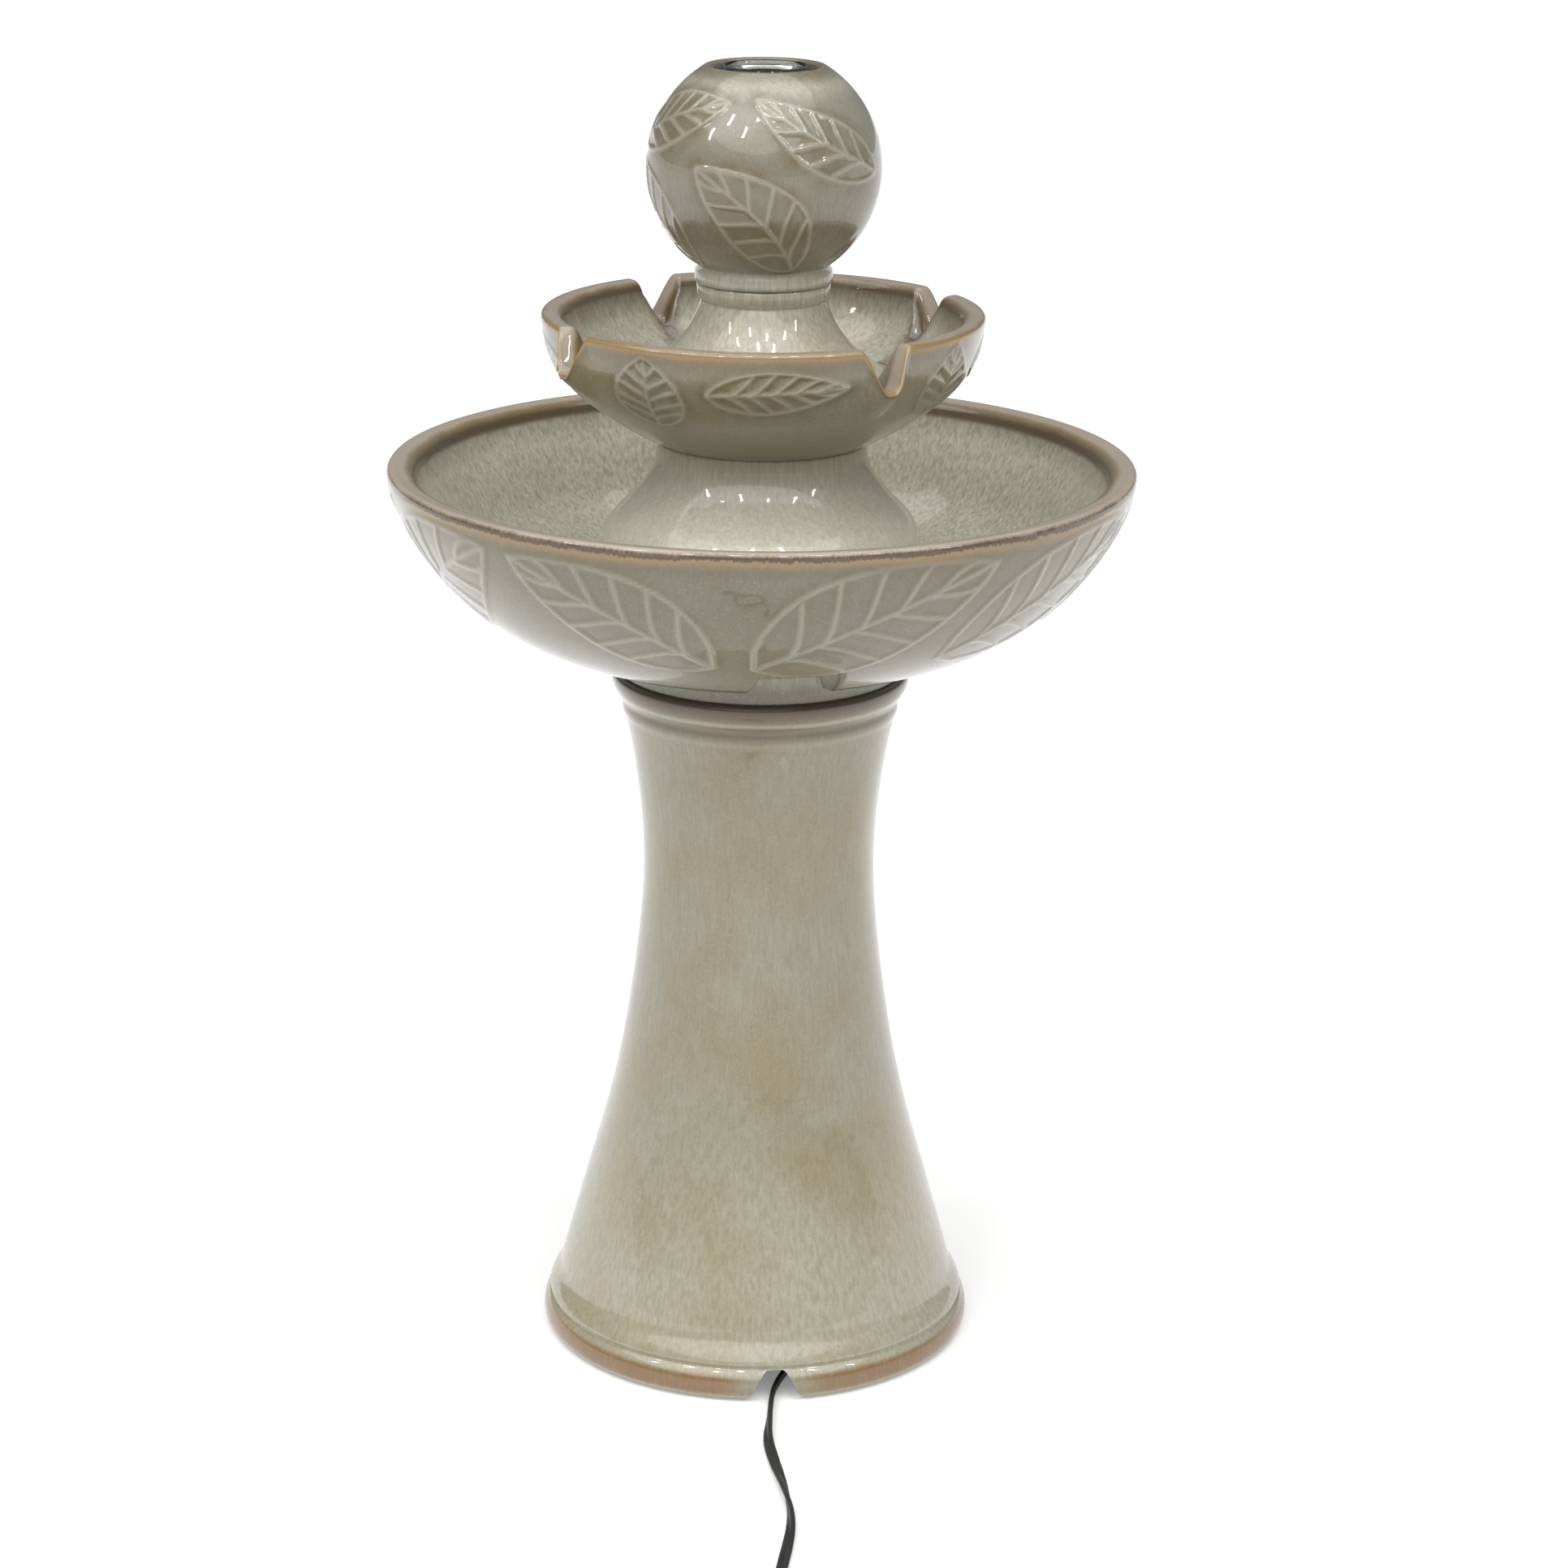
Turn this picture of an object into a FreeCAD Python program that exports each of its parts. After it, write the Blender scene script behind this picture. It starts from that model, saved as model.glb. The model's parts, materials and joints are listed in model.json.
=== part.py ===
import FreeCAD, Part
import math
import os
import re
import Sketcher
from FreeCAD import Placement, Rotation, Vector

# A three-tier ceramic water fountain: a basin on a hollow pedestal, a pump under a bell-shaped
# cover in the basin, an upper bowl on the cover, and a globe with a clear cup on the bowl's column.
# Z is up, the origin is the centre of the foot, and the front faces -Y. Sizes are in millimetres.

SIZES = {
    # pedestal
    "foot_radius": 119.8,
    "waist_radius": 63.4,
    "waist_height": 272,
    "waist_bend": 541,
    "flare_bend": 379,
    "pedestal_wall": 8,
    "pedestal_height": 382,
    "lip_radius": 80.7,
    "lip_recess": 4,
    "notch_width": 20,
    "notch_height": 17,
    "notch_azimuth": 5.6,
    # basin
    "basin_radius": 200,
    "basin_height": 495,
    "basin_floor": 413,
    "basin_foot_radius": 77.8,
    "recess_azimuth": 8.6,
    "recess_width": 46,
    "recess_top": 398,
    "recess_slope": 0.3,
    "cord_hole_x": 46,
    "cord_hole_y": 8,
    "cord_hole_radius": 9,
    # pump cover
    "cover_radius": 93,
    "cover_top": 508,
    "neck_radius": 56.3,
    "cover_wall": 7,
    "spigot_radius": 46,
    "intake_arch_width": 24,
    "intake_arch_height": 13,
    # upper bowl
    "bowl_radius": 117.6,
    "bowl_height": 577,
    "column_height": 593.2,
    "column_radius": 33,
    "column_bore": 22,
    "spout_azimuth": 33,
    "spout_width": 10,
    "spout_bottom": 555.5,
    "spout_reach": 122.5,
    "lip_wall": 3,
    # globe and cup
    "globe_radius": 61.5,
    "globe_centre": 653,
    "globe_wall": 7,
    "globe_mouth": 28.4,
    "cup_flange": 27.8,
    "cup_radius": 22.4,
    "cup_wall": 1.6,
    "cup_bottom": 668,
    "cup_top": 706.4,
    # hose
    "hose_radius": 6.5,
    "hose_bore": 5,
    "hose_bottom": 458,
    "hose_top": 664,
    # pump
    "pump_width": 44,
    "pump_bottom": 416,
    "pump_top": 454,
    "shaft_height": 433,
    "volute_front": -8,
    "motor_front": 8,
    "motor_back": 38,
    "strainer_front": -26,
    "pump_corner": 5,
    "pump_wall": 3.5,
    "front_wall": 3,
    "chamber_radius": 14.5,
    "eye_radius": 6,
    "outlet_seat": 6,
    "rotor_bore": 9.5,
    "can_wall": 1.5,
    "can_back": 28.5,
    "well_back": 27,
    "core_width": 34,
    "core_front": 14,
    "core_depth": 21.5,
    "core_height": 10,
    "core_window": 20,
    "winding_width": 18,
    "winding_front": 29,
    "winding_depth": 8,
    "winding_height": 16,
    "shaft_radius": 1.5,
    "shaft_front": -6.5,
    "shaft_length": 33,
    "running_gap": 0.05,
    "bush_radius": 2.6,
    "hub_radius": 4,
    "impeller_radius": 12.5,
    "impeller_plate": 1.2,
    "vane_thickness": 1.2,
    "vane_front": -4,
    "vane_length": 9,
    "magnet_gap": 0.6,
    "magnet_front": 6.1,
    "magnet_length": 17.5,
    "strainer_wall": 2,
    "slot_pitch": 5,
    "slot_width": 2.2,
    "side_slot_pitch": 2.4,
    "side_slot_width": 1.3,
    "slot_margin": 6,
    "dial_radius": 11,
    "dial_plate": 2,
    "dial_gap": 0.3,
    "dial_pin": 2.45,
    "dial_boss": 6,
    "nozzle_bore": 3.5,
    "nozzle_stem": 5.9,
    "o_ring_groove": 4.9,
    "o_ring_wire": 0.55,
    "foot_skirt": 5.5,
    "foot_stem": 2,
    "foot_stem_depth": 2,
    "gland_radius": 6,
    "gland_collar": 2.5,
    "gland_taper": 6,
    # cord and plug
    "cord_width": 6,
    "coil_radius": 33,
    "coil_x": -24,
    "coil_y": -392,
    "coil_layers": 2,
    "plug_length": 27,
    "plug_width": 20,
    "plug_thickness": 13,
    "relief_length": 20,
    "tail_length": 17,
    "blade_spacing": 12.7,
    "blade_length": 17,
    "blade_thickness": 1.5,
    "blade_width": 6.3,
}

FOOT_PLACES = [(-15, -2), (15, -2), (-15, 33), (15, 33)]
VANES = 6
STRAINER_SLOTS = 7

# The cord in the basin's body: out of the pump, over the chamber, down through the floor.
INNER_CORD_ROUTE = [
    (0, 46.5, 433), (0, 55, 433), (5, 65, 434.5), (14.5, 70.5, 438), (27, 71, 442),
    (38.5, 64.5, 445.5), (46, 53.5, 447), (47.8, 41, 445), (48, 29.5, 440.5), (47.2, 18.5, 433.5),
    (46, 8, 421.5), (46, 8, 391), (45.5, 6.5, 340), (46.2, 7.4, 268), (45.2, 6.2, 194),
    (46, 6.5, 123),
]
# The cord on the floor: down the pedestal, out of the notch, and along the floor to the coil.
CORD_ROUTE = [
    (46, 6, 120), (45, -2, 86), (41, -20, 52), (34, -47, 22), (22, -74, 3), (10.5, -108, 3),
    (9.5, -140, 3), (8, -168, 3), (12.5, -194, 3), (18, -226, 3), (22, -260, 3), (17.5, -300, 3),
    (12.8, -338, 3), (12, -376, 3),
]

doc = FreeCAD.newDocument("Fountain")
sizes = doc.addObject("Spreadsheet::Sheet", "Sizes")
for row, (alias, number) in enumerate(SIZES.items(), 1):
    sizes.set(f"A{row}", alias)
    sizes.set(f"B{row}", str(number))
    sizes.setAlias(f"B{row}", alias)
doc.recompute()

TURNS = {
    "z": Rotation(),
    "x": Rotation(Vector(0, 1, 0), 90),
    "y": Rotation(Vector(1, 0, 0), -90),
}
PARTS = []


# ---------------------------------------------------------------- helpers

def sheet(text):
    """An expression in the sheet's names, written so that any object can use it."""
    return re.sub(r"\b(?!sqrt\b)([a-z]\w+)\b", r"Sizes.\1", text)


def size(text):
    """What such an expression comes to."""
    return float(sizes.evalExpression(sheet(text)))


def bind(thing, **properties):
    """Ties properties of an object to expressions of the sheet."""
    for name, text in properties.items():
        thing.setExpression(name, sheet(text))


def place(thing, x="0", y="0", z="0", turn="z"):
    """Ties an object's position to the sheet, and turns it along an axis."""
    thing.Placement = Placement(Vector(size(x), size(y), size(z)), TURNS[turn])
    for axis, text in zip("xyz", (x, y, z)):
        thing.setExpression(f"Placement.Base.{axis}", sheet(text))
    return thing


def node(thing, label):
    """Names an object as one of the fountain's separate pieces."""
    thing.Label = label
    PARTS.append(thing)
    return thing


def cylinder(name, radius, height, x="0", y="0", z="0", turn="z"):
    solid = doc.addObject("Part::Cylinder", name)
    bind(solid, Radius=radius, Height=height)
    return place(solid, x, y, z, turn)


def cone(name, radius_1, radius_2, height, x, y, z, turn="z"):
    solid = doc.addObject("Part::Cone", name)
    bind(solid, Radius1=radius_1, Radius2=radius_2, Height=height)
    return place(solid, x, y, z, turn)


def box(name, x, y, z, length, width, height):
    """A box centred on x, from y and z upward."""
    solid = doc.addObject("Part::Box", name)
    bind(solid, Length=length, Width=width, Height=height)
    return place(solid, f"{x} - ({length}) / 2", y, z)


def fuse(name, *solids):
    joined = doc.addObject("Part::MultiFuse", name)
    joined.Shapes = list(solids)
    return joined


def cut(name, base, *tools):
    result = doc.addObject("Part::Cut", name)
    result.Base = base
    result.Tool = tools[0] if len(tools) == 1 else fuse(name + "_cutters", *tools)
    return result


def rounded(name, base, radius, chosen):
    """Rounds the edges of a solid that chosen(edge) picks."""
    doc.recompute()
    result = doc.addObject("Part::Fillet", name)
    result.Base = base
    picked = [i for i, edge in enumerate(base.Shape.Edges, 1) if chosen(edge)]
    result.Edges = [(i, size(radius), size(radius)) for i in picked]
    return result


def along(axis):
    """Picks the straight edges that run along an axis."""
    def chosen(edge):
        straight = isinstance(edge.Curve, Part.Line)
        return straight and abs(edge.tangentAt(edge.FirstParameter).dot(axis)) > 0.999
    return chosen


def arc_between(start, end, radius):
    """The shorter arc from start to end, counter-clockwise if the radius is positive."""
    chord = end - start
    left = Vector(-chord.y, chord.x, 0).normalize()
    depth = math.sqrt(radius ** 2 - (chord.Length / 2) ** 2)
    centre = (start + end) * 0.5 + left * math.copysign(depth, radius)
    first, last = (start, end) if radius > 0 else (end, start)
    angles = [math.atan2(p.y - centre.y, p.x - centre.x) for p in (first, last)]
    if angles[1] < angles[0]:
        angles[1] += 2 * math.pi
    circle = Part.Circle(centre, Vector(0, 0, 1), abs(radius))
    return Part.ArcOfCircle(circle, angles[0], angles[1])


def outline(body, name, corners, azimuth="0", start="0"):
    """An upright closed sketch, facing an azimuth from the front and standing off the axis.

    A corner is (across, up), or (across, up, radius) where an arc leads on to the next one.
    """
    sketch = body.newObject("Sketcher::SketchObject", name)
    support = next(f for f in body.Origin.OriginFeatures if f.Role == "XZ_Plane")
    sketch.AttachmentSupport = (support, "")
    sketch.MapMode = "FlatFace"
    turn = Rotation(Vector(0, 1, 0), size(azimuth))
    sketch.AttachmentOffset = Placement(turn.multVec(Vector(0, 0, size(start))), turn)
    points = [Vector(size(corner[0]), size(corner[1]), 0) for corner in corners]
    ends = []
    for i, corner in enumerate(corners):
        start, end = points[i], points[(i + 1) % len(points)]
        radius = size(corner[2]) if len(corner) == 3 else 0
        edge = arc_between(start, end, radius) if radius else Part.LineSegment(start, end)
        sketch.addGeometry(edge, False)
        ends.append((2, 1) if radius < 0 else (1, 2))
    for i, corner in enumerate(corners):
        following = (i + 1) % len(corners)
        sketch.addConstraint(
            Sketcher.Constraint("Coincident", i, ends[i][1], following, ends[following][0])
        )
        for kind, axis, text in (("DistanceX", -2, corner[0]), ("DistanceY", -1, corner[1])):
            number = size(text)
            if abs(number) < 1e-9:
                sketch.addConstraint(Sketcher.Constraint("PointOnObject", i, ends[i][0], axis))
                continue
            pair = (-1, 1, i, ends[i][0]) if number > 0 else (i, ends[i][0], -1, 1)
            sign = "" if number > 0 else "-"
            hold(sketch, Sketcher.Constraint(kind, *pair, abs(number)), f"{sign}({text})")
        if len(corner) == 3:
            sign = "" if size(corner[2]) > 0 else "-"
            bend = Sketcher.Constraint("Radius", i, abs(size(corner[2])))
            hold(sketch, bend, f"{sign}({corner[2]})")
    return sketch


def hold(sketch, constraint, text):
    """Adds a dimension to a sketch and ties it to the sheet."""
    index = sketch.addConstraint(constraint)
    sketch.renameConstraint(index, f"size_{index}")
    sketch.setExpression(f"Constraints.size_{index}", sheet(text))


def turned(name, corners):
    """A body turned about its Z axis from an outline of (radius, height) corners."""
    body = doc.addObject("PartDesign::Body", name)
    sketch = outline(body, name + "_outline", corners)
    turn = body.newObject("PartDesign::Revolution", name + "_turn")
    turn.Profile = sketch
    turn.ReferenceAxis = (sketch, ["V_Axis"])
    turn.Angle = 360
    return body


def pocketed(body, name, corners, start, reach, azimuth, count=1):
    """Cuts an upright outline outward, once or all round in equal steps."""
    sketch = outline(body, name + "_outline", corners, azimuth, start)
    pocket = body.newObject("PartDesign::Pocket", name)
    pocket.Profile = sketch
    bind(pocket, Length=reach)
    pocket.Reversed = True
    return repeated(body, name, pocket, count)


def padded(body, name, corners, start, reach, azimuth, count):
    """Adds an upright outline outward, once or all round in equal steps."""
    sketch = outline(body, name + "_outline", corners, azimuth, start)
    pad = body.newObject("PartDesign::Pad", name)
    pad.Profile = sketch
    bind(pad, Length=reach)
    return repeated(body, name, pad, count)


def repeated(body, name, feature, count):
    if count == 1:
        return feature
    pattern = body.newObject("PartDesign::PolarPattern", name + "_pattern")
    pattern.Originals = [feature]
    axis = next(f for f in body.Origin.OriginFeatures if f.Role == "Z_Axis")
    pattern.Axis = (axis, [""])
    pattern.Angle = 360
    pattern.Occurrences = count
    body.Tip = pattern
    return pattern


# ---------------------------------------------------------------- ceramic tiers

def pedestal():
    """The hollow pedestal: foot band, bead, tapering wall, waist, and a lip that holds the basin."""
    body = turned("pedestal", [
        ("foot_radius - 4.3", "0", "8"),
        ("foot_radius", "6"),
        ("foot_radius - 1.2", "13", "6"),
        ("foot_radius - 4.6", "17.6", "8"),
        ("foot_radius - 9.6", "30", "-12"),
        ("foot_radius - 11.6", "39"),
        ("84", "126", "-waist_bend"),
        ("waist_radius", "waist_height", "-flare_bend"),
        ("waist_radius + 9.8", "pedestal_height - 24", "3.4"),
        ("waist_radius + 10.2", "pedestal_height - 18", "-4"),
        ("waist_radius + 12", "pedestal_height - 13.5"),
        ("lip_radius - 1.6", "pedestal_height - 11", "9"),
        ("lip_radius", "pedestal_height - 3", "2.6"),
        ("lip_radius - 1.4", "pedestal_height"),
        ("basin_foot_radius + 0.6", "pedestal_height"),
        ("basin_foot_radius + 0.6", "pedestal_height - lip_recess"),
        ("66", "pedestal_height - lip_recess"),
        ("65.4", "pedestal_height - 22", "flare_bend + pedestal_wall"),
        ("waist_radius - pedestal_wall", "waist_height", "waist_bend + pedestal_wall"),
        ("84 - pedestal_wall", "126"),
        ("foot_radius - 19", "40"),
        ("foot_radius - 15", "12"),
        ("foot_radius - 15", "0"),
    ])
    pocketed(body, "cord_notch", [
        ("-notch_width", "-1"),
        ("notch_width", "-1", "-24"),
        ("notch_width / 2 - 1", "notch_height - 3", "6"),
        ("0", "notch_height", "6"),
        ("1 - notch_width / 2", "notch_height - 3", "-24"),
    ], "0", "foot_radius + 2", "notch_azimuth")
    return node(body, "pedestal")


def basin():
    """The large basin, with a foot ring, a hole for the cord and a hollow beside its foot."""
    body = turned("basin_shell", [
        ("67", "pedestal_height - lip_recess"),
        ("basin_foot_radius", "pedestal_height - lip_recess"),
        ("basin_foot_radius + 1.2", "389.5", "-2.2"),
        ("82", "391", "152"),
        ("basin_radius - 33.4", "432.8", "127"),
        ("basin_radius", "basin_height - 4", "3.2"),
        ("basin_radius - 1.7", "basin_height"),
        ("basin_radius - 11", "basin_height - 0.8", "5.6"),
        ("basin_radius - 15.6", "basin_height - 7", "-92"),
        ("160", "444", "-150"),
        ("106", "basin_floor"),
        ("0", "basin_floor"),
        ("0", "basin_floor - 14"),
        ("62", "basin_floor - 14"),
        ("67", "basin_floor - 19"),
    ])
    arch = doc.addObject("PartDesign::Body", "recess_arch")
    ceiling = "recess_top - recess_slope * basin_foot_radius"
    sketch = outline(arch, "recess_outline", [
        ("-recess_width / 2", f"{ceiling} - 14"),
        ("recess_width / 2", f"{ceiling} - 14"),
        ("recess_width / 2", f"{ceiling} - 8", "9"),
        ("recess_width / 2 - 8", ceiling),
        ("-recess_width / 8", ceiling, "30"),
    ], azimuth="recess_azimuth")
    azimuth = math.radians(size("recess_azimuth"))
    pad = arch.newObject("PartDesign::Pad", "recess_pad")
    pad.Profile = sketch
    pad.UseCustomVector = True
    pad.Direction = Vector(math.sin(azimuth), -math.cos(azimuth), size("recess_slope"))
    pad.AlongSketchNormal = True
    bind(pad, Length="basin_radius")
    foot = cylinder("recess_back", "basin_foot_radius + 0.8", "60", z="pedestal_height")
    hollow = cut("recess", arch, foot)
    hole = cylinder(
        "cord_hole", "cord_hole_radius", "30", "cord_hole_x", "cord_hole_y", "basin_floor - 20"
    )
    return node(cut("basin_cut", body, hollow, hole), "basin")


def cord_grommet():
    """The rubber stopper that seals the cord in the basin's floor."""
    body = turned("grommet", [
        ("cord_width / 2", "-3"),
        ("cord_hole_radius + 1", "-3"),
        ("cord_hole_radius + 2", "0"),
        ("cord_hole_radius", "0"),
        ("cord_hole_radius", "14"),
        ("cord_hole_radius + 4", "14"),
        ("cord_hole_radius + 3", "16.5"),
        ("cord_width / 2", "16.5"),
    ])
    place(body, "cord_hole_x", "cord_hole_y", "basin_floor - 14")
    return node(body, "cord_grommet")


def pump_cover():
    """The bell over the pump, with intake arches in its skirt and a spigot for the upper bowl."""
    body = turned("pump_cover", [
        ("cover_radius", "basin_floor"),
        ("cover_radius - 2.4", "432", "60"),
        ("cover_radius - 7.2", "452", "34"),
        ("cover_radius - 21", "474.5", "-38"),
        ("neck_radius + 0.4", "496"),
        ("neck_radius", "cover_top"),
        ("spigot_radius", "cover_top"),
        ("spigot_radius - 0.6", "cover_top + 5"),
        ("spigot_radius - 6.5", "cover_top + 5"),
        ("spigot_radius - 6.5", "cover_top - 7"),
        ("neck_radius - cover_wall", "cover_top - 7"),
        ("neck_radius - cover_wall", "494", "45"),
        ("cover_radius - 26.4", "469.5", "-27"),
        ("cover_radius - 14", "450", "-60"),
        ("cover_radius - 9", "432"),
        ("cover_radius - cover_wall", "basin_floor"),
    ])
    pocketed(body, "intake_arch", [
        ("-intake_arch_width / 2", "basin_floor - 1"),
        ("intake_arch_width / 2", "basin_floor - 1"),
        ("intake_arch_width / 2", "basin_floor + 2", "intake_arch_width / 2"),
        ("0", "basin_floor + intake_arch_height", "intake_arch_width / 2"),
        ("-intake_arch_width / 2", "basin_floor + 2"),
    ], "0", "cover_radius + 2", "45", 4)
    return node(body, "pump_cover")


def upper_bowl():
    """The upper bowl and its column in one piece, with four pouring spouts in the rim."""
    body = turned("upper_bowl", [
        ("spigot_radius + 0.7", "cover_top"),
        ("neck_radius", "cover_top", "143"),
        ("104", "540", "61"),
        ("bowl_radius", "bowl_height - 3.5", "4"),
        ("bowl_radius - 3", "bowl_height"),
        ("bowl_radius - 9", "bowl_height - 0.4", "5"),
        ("bowl_radius - 13", "bowl_height - 5", "-58"),
        ("95", "551", "-60"),
        ("80", "539.5", "-62"),
        ("column_radius", "584"),
        ("column_radius + 2.3", "586"),
        ("column_radius + 2.3", "column_height - 1.2"),
        ("column_radius + 1.2", "column_height"),
        ("column_bore", "column_height"),
        ("column_bore", "574"),
        ("column_bore - 3", "574"),
        ("column_bore - 3", "562"),
        ("spigot_radius - 10", "541"),
        ("spigot_radius + 0.7", "528"),
    ])
    padded(body, "spout_lip", [
        ("-spout_width - 5", "bowl_height - 1"),
        ("-spout_width - 1.5", "bowl_height - 7"),
        ("-spout_width / 2 - lip_wall", "spout_bottom + 4.5", "spout_width / 2 + lip_wall + 0.02"),
        ("spout_width / 2 + lip_wall", "spout_bottom + 4.5"),
        ("spout_width + 1.5", "bowl_height - 7"),
        ("spout_width + 5", "bowl_height - 1"),
    ], "bowl_radius - 11", "spout_reach - bowl_radius + 11", "spout_azimuth", 4)
    pocketed(body, "spout", [
        ("-spout_width / 2", "spout_bottom + 4.6", "spout_width / 2 + 0.02"),
        ("spout_width / 2", "spout_bottom + 4.6"),
        ("spout_width - 1.5", "bowl_height - 6", "-7"),
        ("spout_width + 3.5", "bowl_height + 1"),
        ("-spout_width - 3.5", "bowl_height + 1", "-7"),
        ("1.5 - spout_width", "bowl_height - 6"),
    ], "column_radius + 40", "spout_reach", "spout_azimuth", 4)
    return node(body, "upper_bowl")


def globe():
    """The hollow ceramic ball, with a spigot for the column below and a seat for the cup above."""
    body = turned("globe", [
        ("column_bore - 0.6", "column_height - 7"),
        ("column_bore - 0.4", "column_height"),
        ("column_radius + 3.3", "column_height", "4"),
        ("column_radius + 3.3", "column_height + 6.4"),
        ("35", "globe_centre - sqrt(globe_radius ^ 2 - 35 ^ 2)", "globe_radius"),
        ("31.6", "globe_centre + sqrt(globe_radius ^ 2 - 31.6 ^ 2)", "3"),
        ("globe_mouth", "globe_centre + 51.4"),
        ("globe_mouth", "cup_top - 3.6"),
        ("cup_radius + 0.6", "cup_top - 3.6"),
        ("cup_radius + 0.6", "globe_centre + 48"),
        ("26", "globe_centre + sqrt((globe_radius - globe_wall) ^ 2 - 26 ^ 2)",
         "globe_wall - globe_radius"),
        ("28", "globe_centre - sqrt((globe_radius - globe_wall) ^ 2 - 28 ^ 2)"),
        ("column_bore - 5", "column_height + 4"),
        ("column_bore - 5", "column_height - 7"),
    ])
    return node(body, "globe")


def water_cup():
    """The clear cup that hangs in the globe's mouth, with a hole for the jet."""
    return node(turned("water_cup", [
        ("6.2", "cup_bottom"),
        ("cup_radius - 4", "cup_bottom", "3"),
        ("cup_radius - 1.4", "cup_bottom + 2.4"),
        ("cup_radius", "cup_top - 3.6"),
        ("cup_flange - 0.6", "cup_top - 3.6", "0.9"),
        ("cup_flange - 0.6", "cup_top - 1.9"),
        ("cup_radius + 1.4", "cup_top - 1.9", "-1.2"),
        ("cup_radius", "cup_top - 0.6", "0.9"),
        ("cup_radius - 1.4", "cup_top - 0.6"),
        ("cup_radius - cup_wall - 1.4", "cup_bottom + 4", "-2.4"),
        ("cup_radius - 5", "cup_bottom + cup_wall"),
        ("6.2", "cup_bottom + cup_wall"),
    ]), "water_cup")


# ---------------------------------------------------------------- water line

def supply_hose():
    """The clear hose from the pump to the cup."""
    outer = cylinder("hose_outer", "hose_radius", "hose_top - hose_bottom", z="hose_bottom")
    inner = cylinder("hose_inner", "hose_bore", "hose_top - hose_bottom", z="hose_bottom")
    return node(cut("hose", outer, inner), "supply_hose")


def column_stopper():
    """The rubber ring that centres the hose in the column's bore."""
    return node(turned("stopper", [
        ("hose_radius + 0.1", "574"),
        ("column_bore", "574"),
        ("column_bore", "582"),
        ("column_bore - 2", "584"),
        ("hose_radius + 0.1", "584"),
    ]), "column_stopper")


def jet_nozzle():
    """The jet at the hose's end, standing up through the cup's floor."""
    return node(turned("jet", [
        ("3", "hose_top - 12"),
        ("hose_bore - 0.6", "hose_top - 12"),
        ("hose_bore", "hose_top - 9"),
        ("hose_bore", "hose_top"),
        ("6", "hose_top"),
        ("6", "hose_top + 9"),
        ("4.6", "hose_top + 13"),
        ("2.2", "hose_top + 13"),
        ("3", "hose_top + 8"),
    ]), "jet_nozzle")


# ---------------------------------------------------------------- pump

def pump_block(name, front, back):
    """A block of the pump's section, rounded along its length."""
    block = box(name, "0", front, "pump_bottom", "pump_width", f"{back} - ({front})",
                "pump_top - pump_bottom")
    return rounded(name + "_rounded", block, "pump_corner", along(Vector(0, 1, 0)))


def on_shaft(name, radius, front, length):
    """A cylinder round the shaft's axis, from front back."""
    return cylinder(name, radius, length, "0", front, "shaft_height", "y")


def foot_holes():
    """Blind holes under the pump for the stems of the suction feet."""
    return [
        cylinder(f"foot_hole_{i}", "foot_stem", "foot_stem_depth + 1", f"{x}", f"{y}",
                 "pump_bottom - 1")
        for i, (x, y) in enumerate(FOOT_PLACES)
    ]


def stator_cavity(name):
    """The room behind the housing's front wall, around the rotor's can."""
    room = box(name + "_room", "0", "motor_front + front_wall", "pump_bottom + pump_wall",
               "pump_width - 2 * pump_wall", "motor_back - motor_front - front_wall",
               "pump_top - pump_bottom - 2 * pump_wall")
    can = on_shaft(name + "_can", "rotor_bore + can_wall", "motor_front", "can_back - motor_front")
    return cut(name, room, can)


def pump_housing():
    """The motor's housing: a wall round the stator and a blind can for the rotor."""
    block = pump_block("motor_block", "motor_front", "motor_back")
    well = on_shaft("rotor_well", "rotor_bore", "motor_front", "well_back - motor_front")
    return node(cut("housing", block, stator_cavity("cavity"), well, *foot_holes()[2:]),
                "pump_housing")


def yoke(name):
    """The U-shaped stack of the stator: two poles beside the can, joined behind it."""
    block = box(name + "_block", "0", "core_front", "shaft_height - core_height / 2",
                "core_width", "core_depth", "core_height")
    window = box(name + "_window", "0", "core_front - 1", "shaft_height - core_height / 2 - 1",
                 "core_window", "core_depth - 3", "core_height + 2")
    can = on_shaft(name + "_can", "rotor_bore + can_wall + 0.1", "motor_front",
                   "can_back - motor_front + 0.5")
    return cut(name, block, window, can)


def stator_core():
    return node(yoke("core"), "stator_core")


def winding(name):
    """The coil of wire round the back of the stator's stack."""
    block = box(name + "_block", "0", "winding_front", "shaft_height - winding_height / 2",
                "winding_width", "winding_depth", "winding_height")
    return cut(name, block, yoke(name + "_hole"))


def stator_winding():
    return node(winding("winding_wire"), "stator_winding")


def potting_resin():
    """The cast resin that fills the room round the stator."""
    filled = cut("potting", stator_cavity("potting_room"), yoke("potting_core"),
                 winding("potting_wire"))
    return node(filled, "potting_resin")


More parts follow.
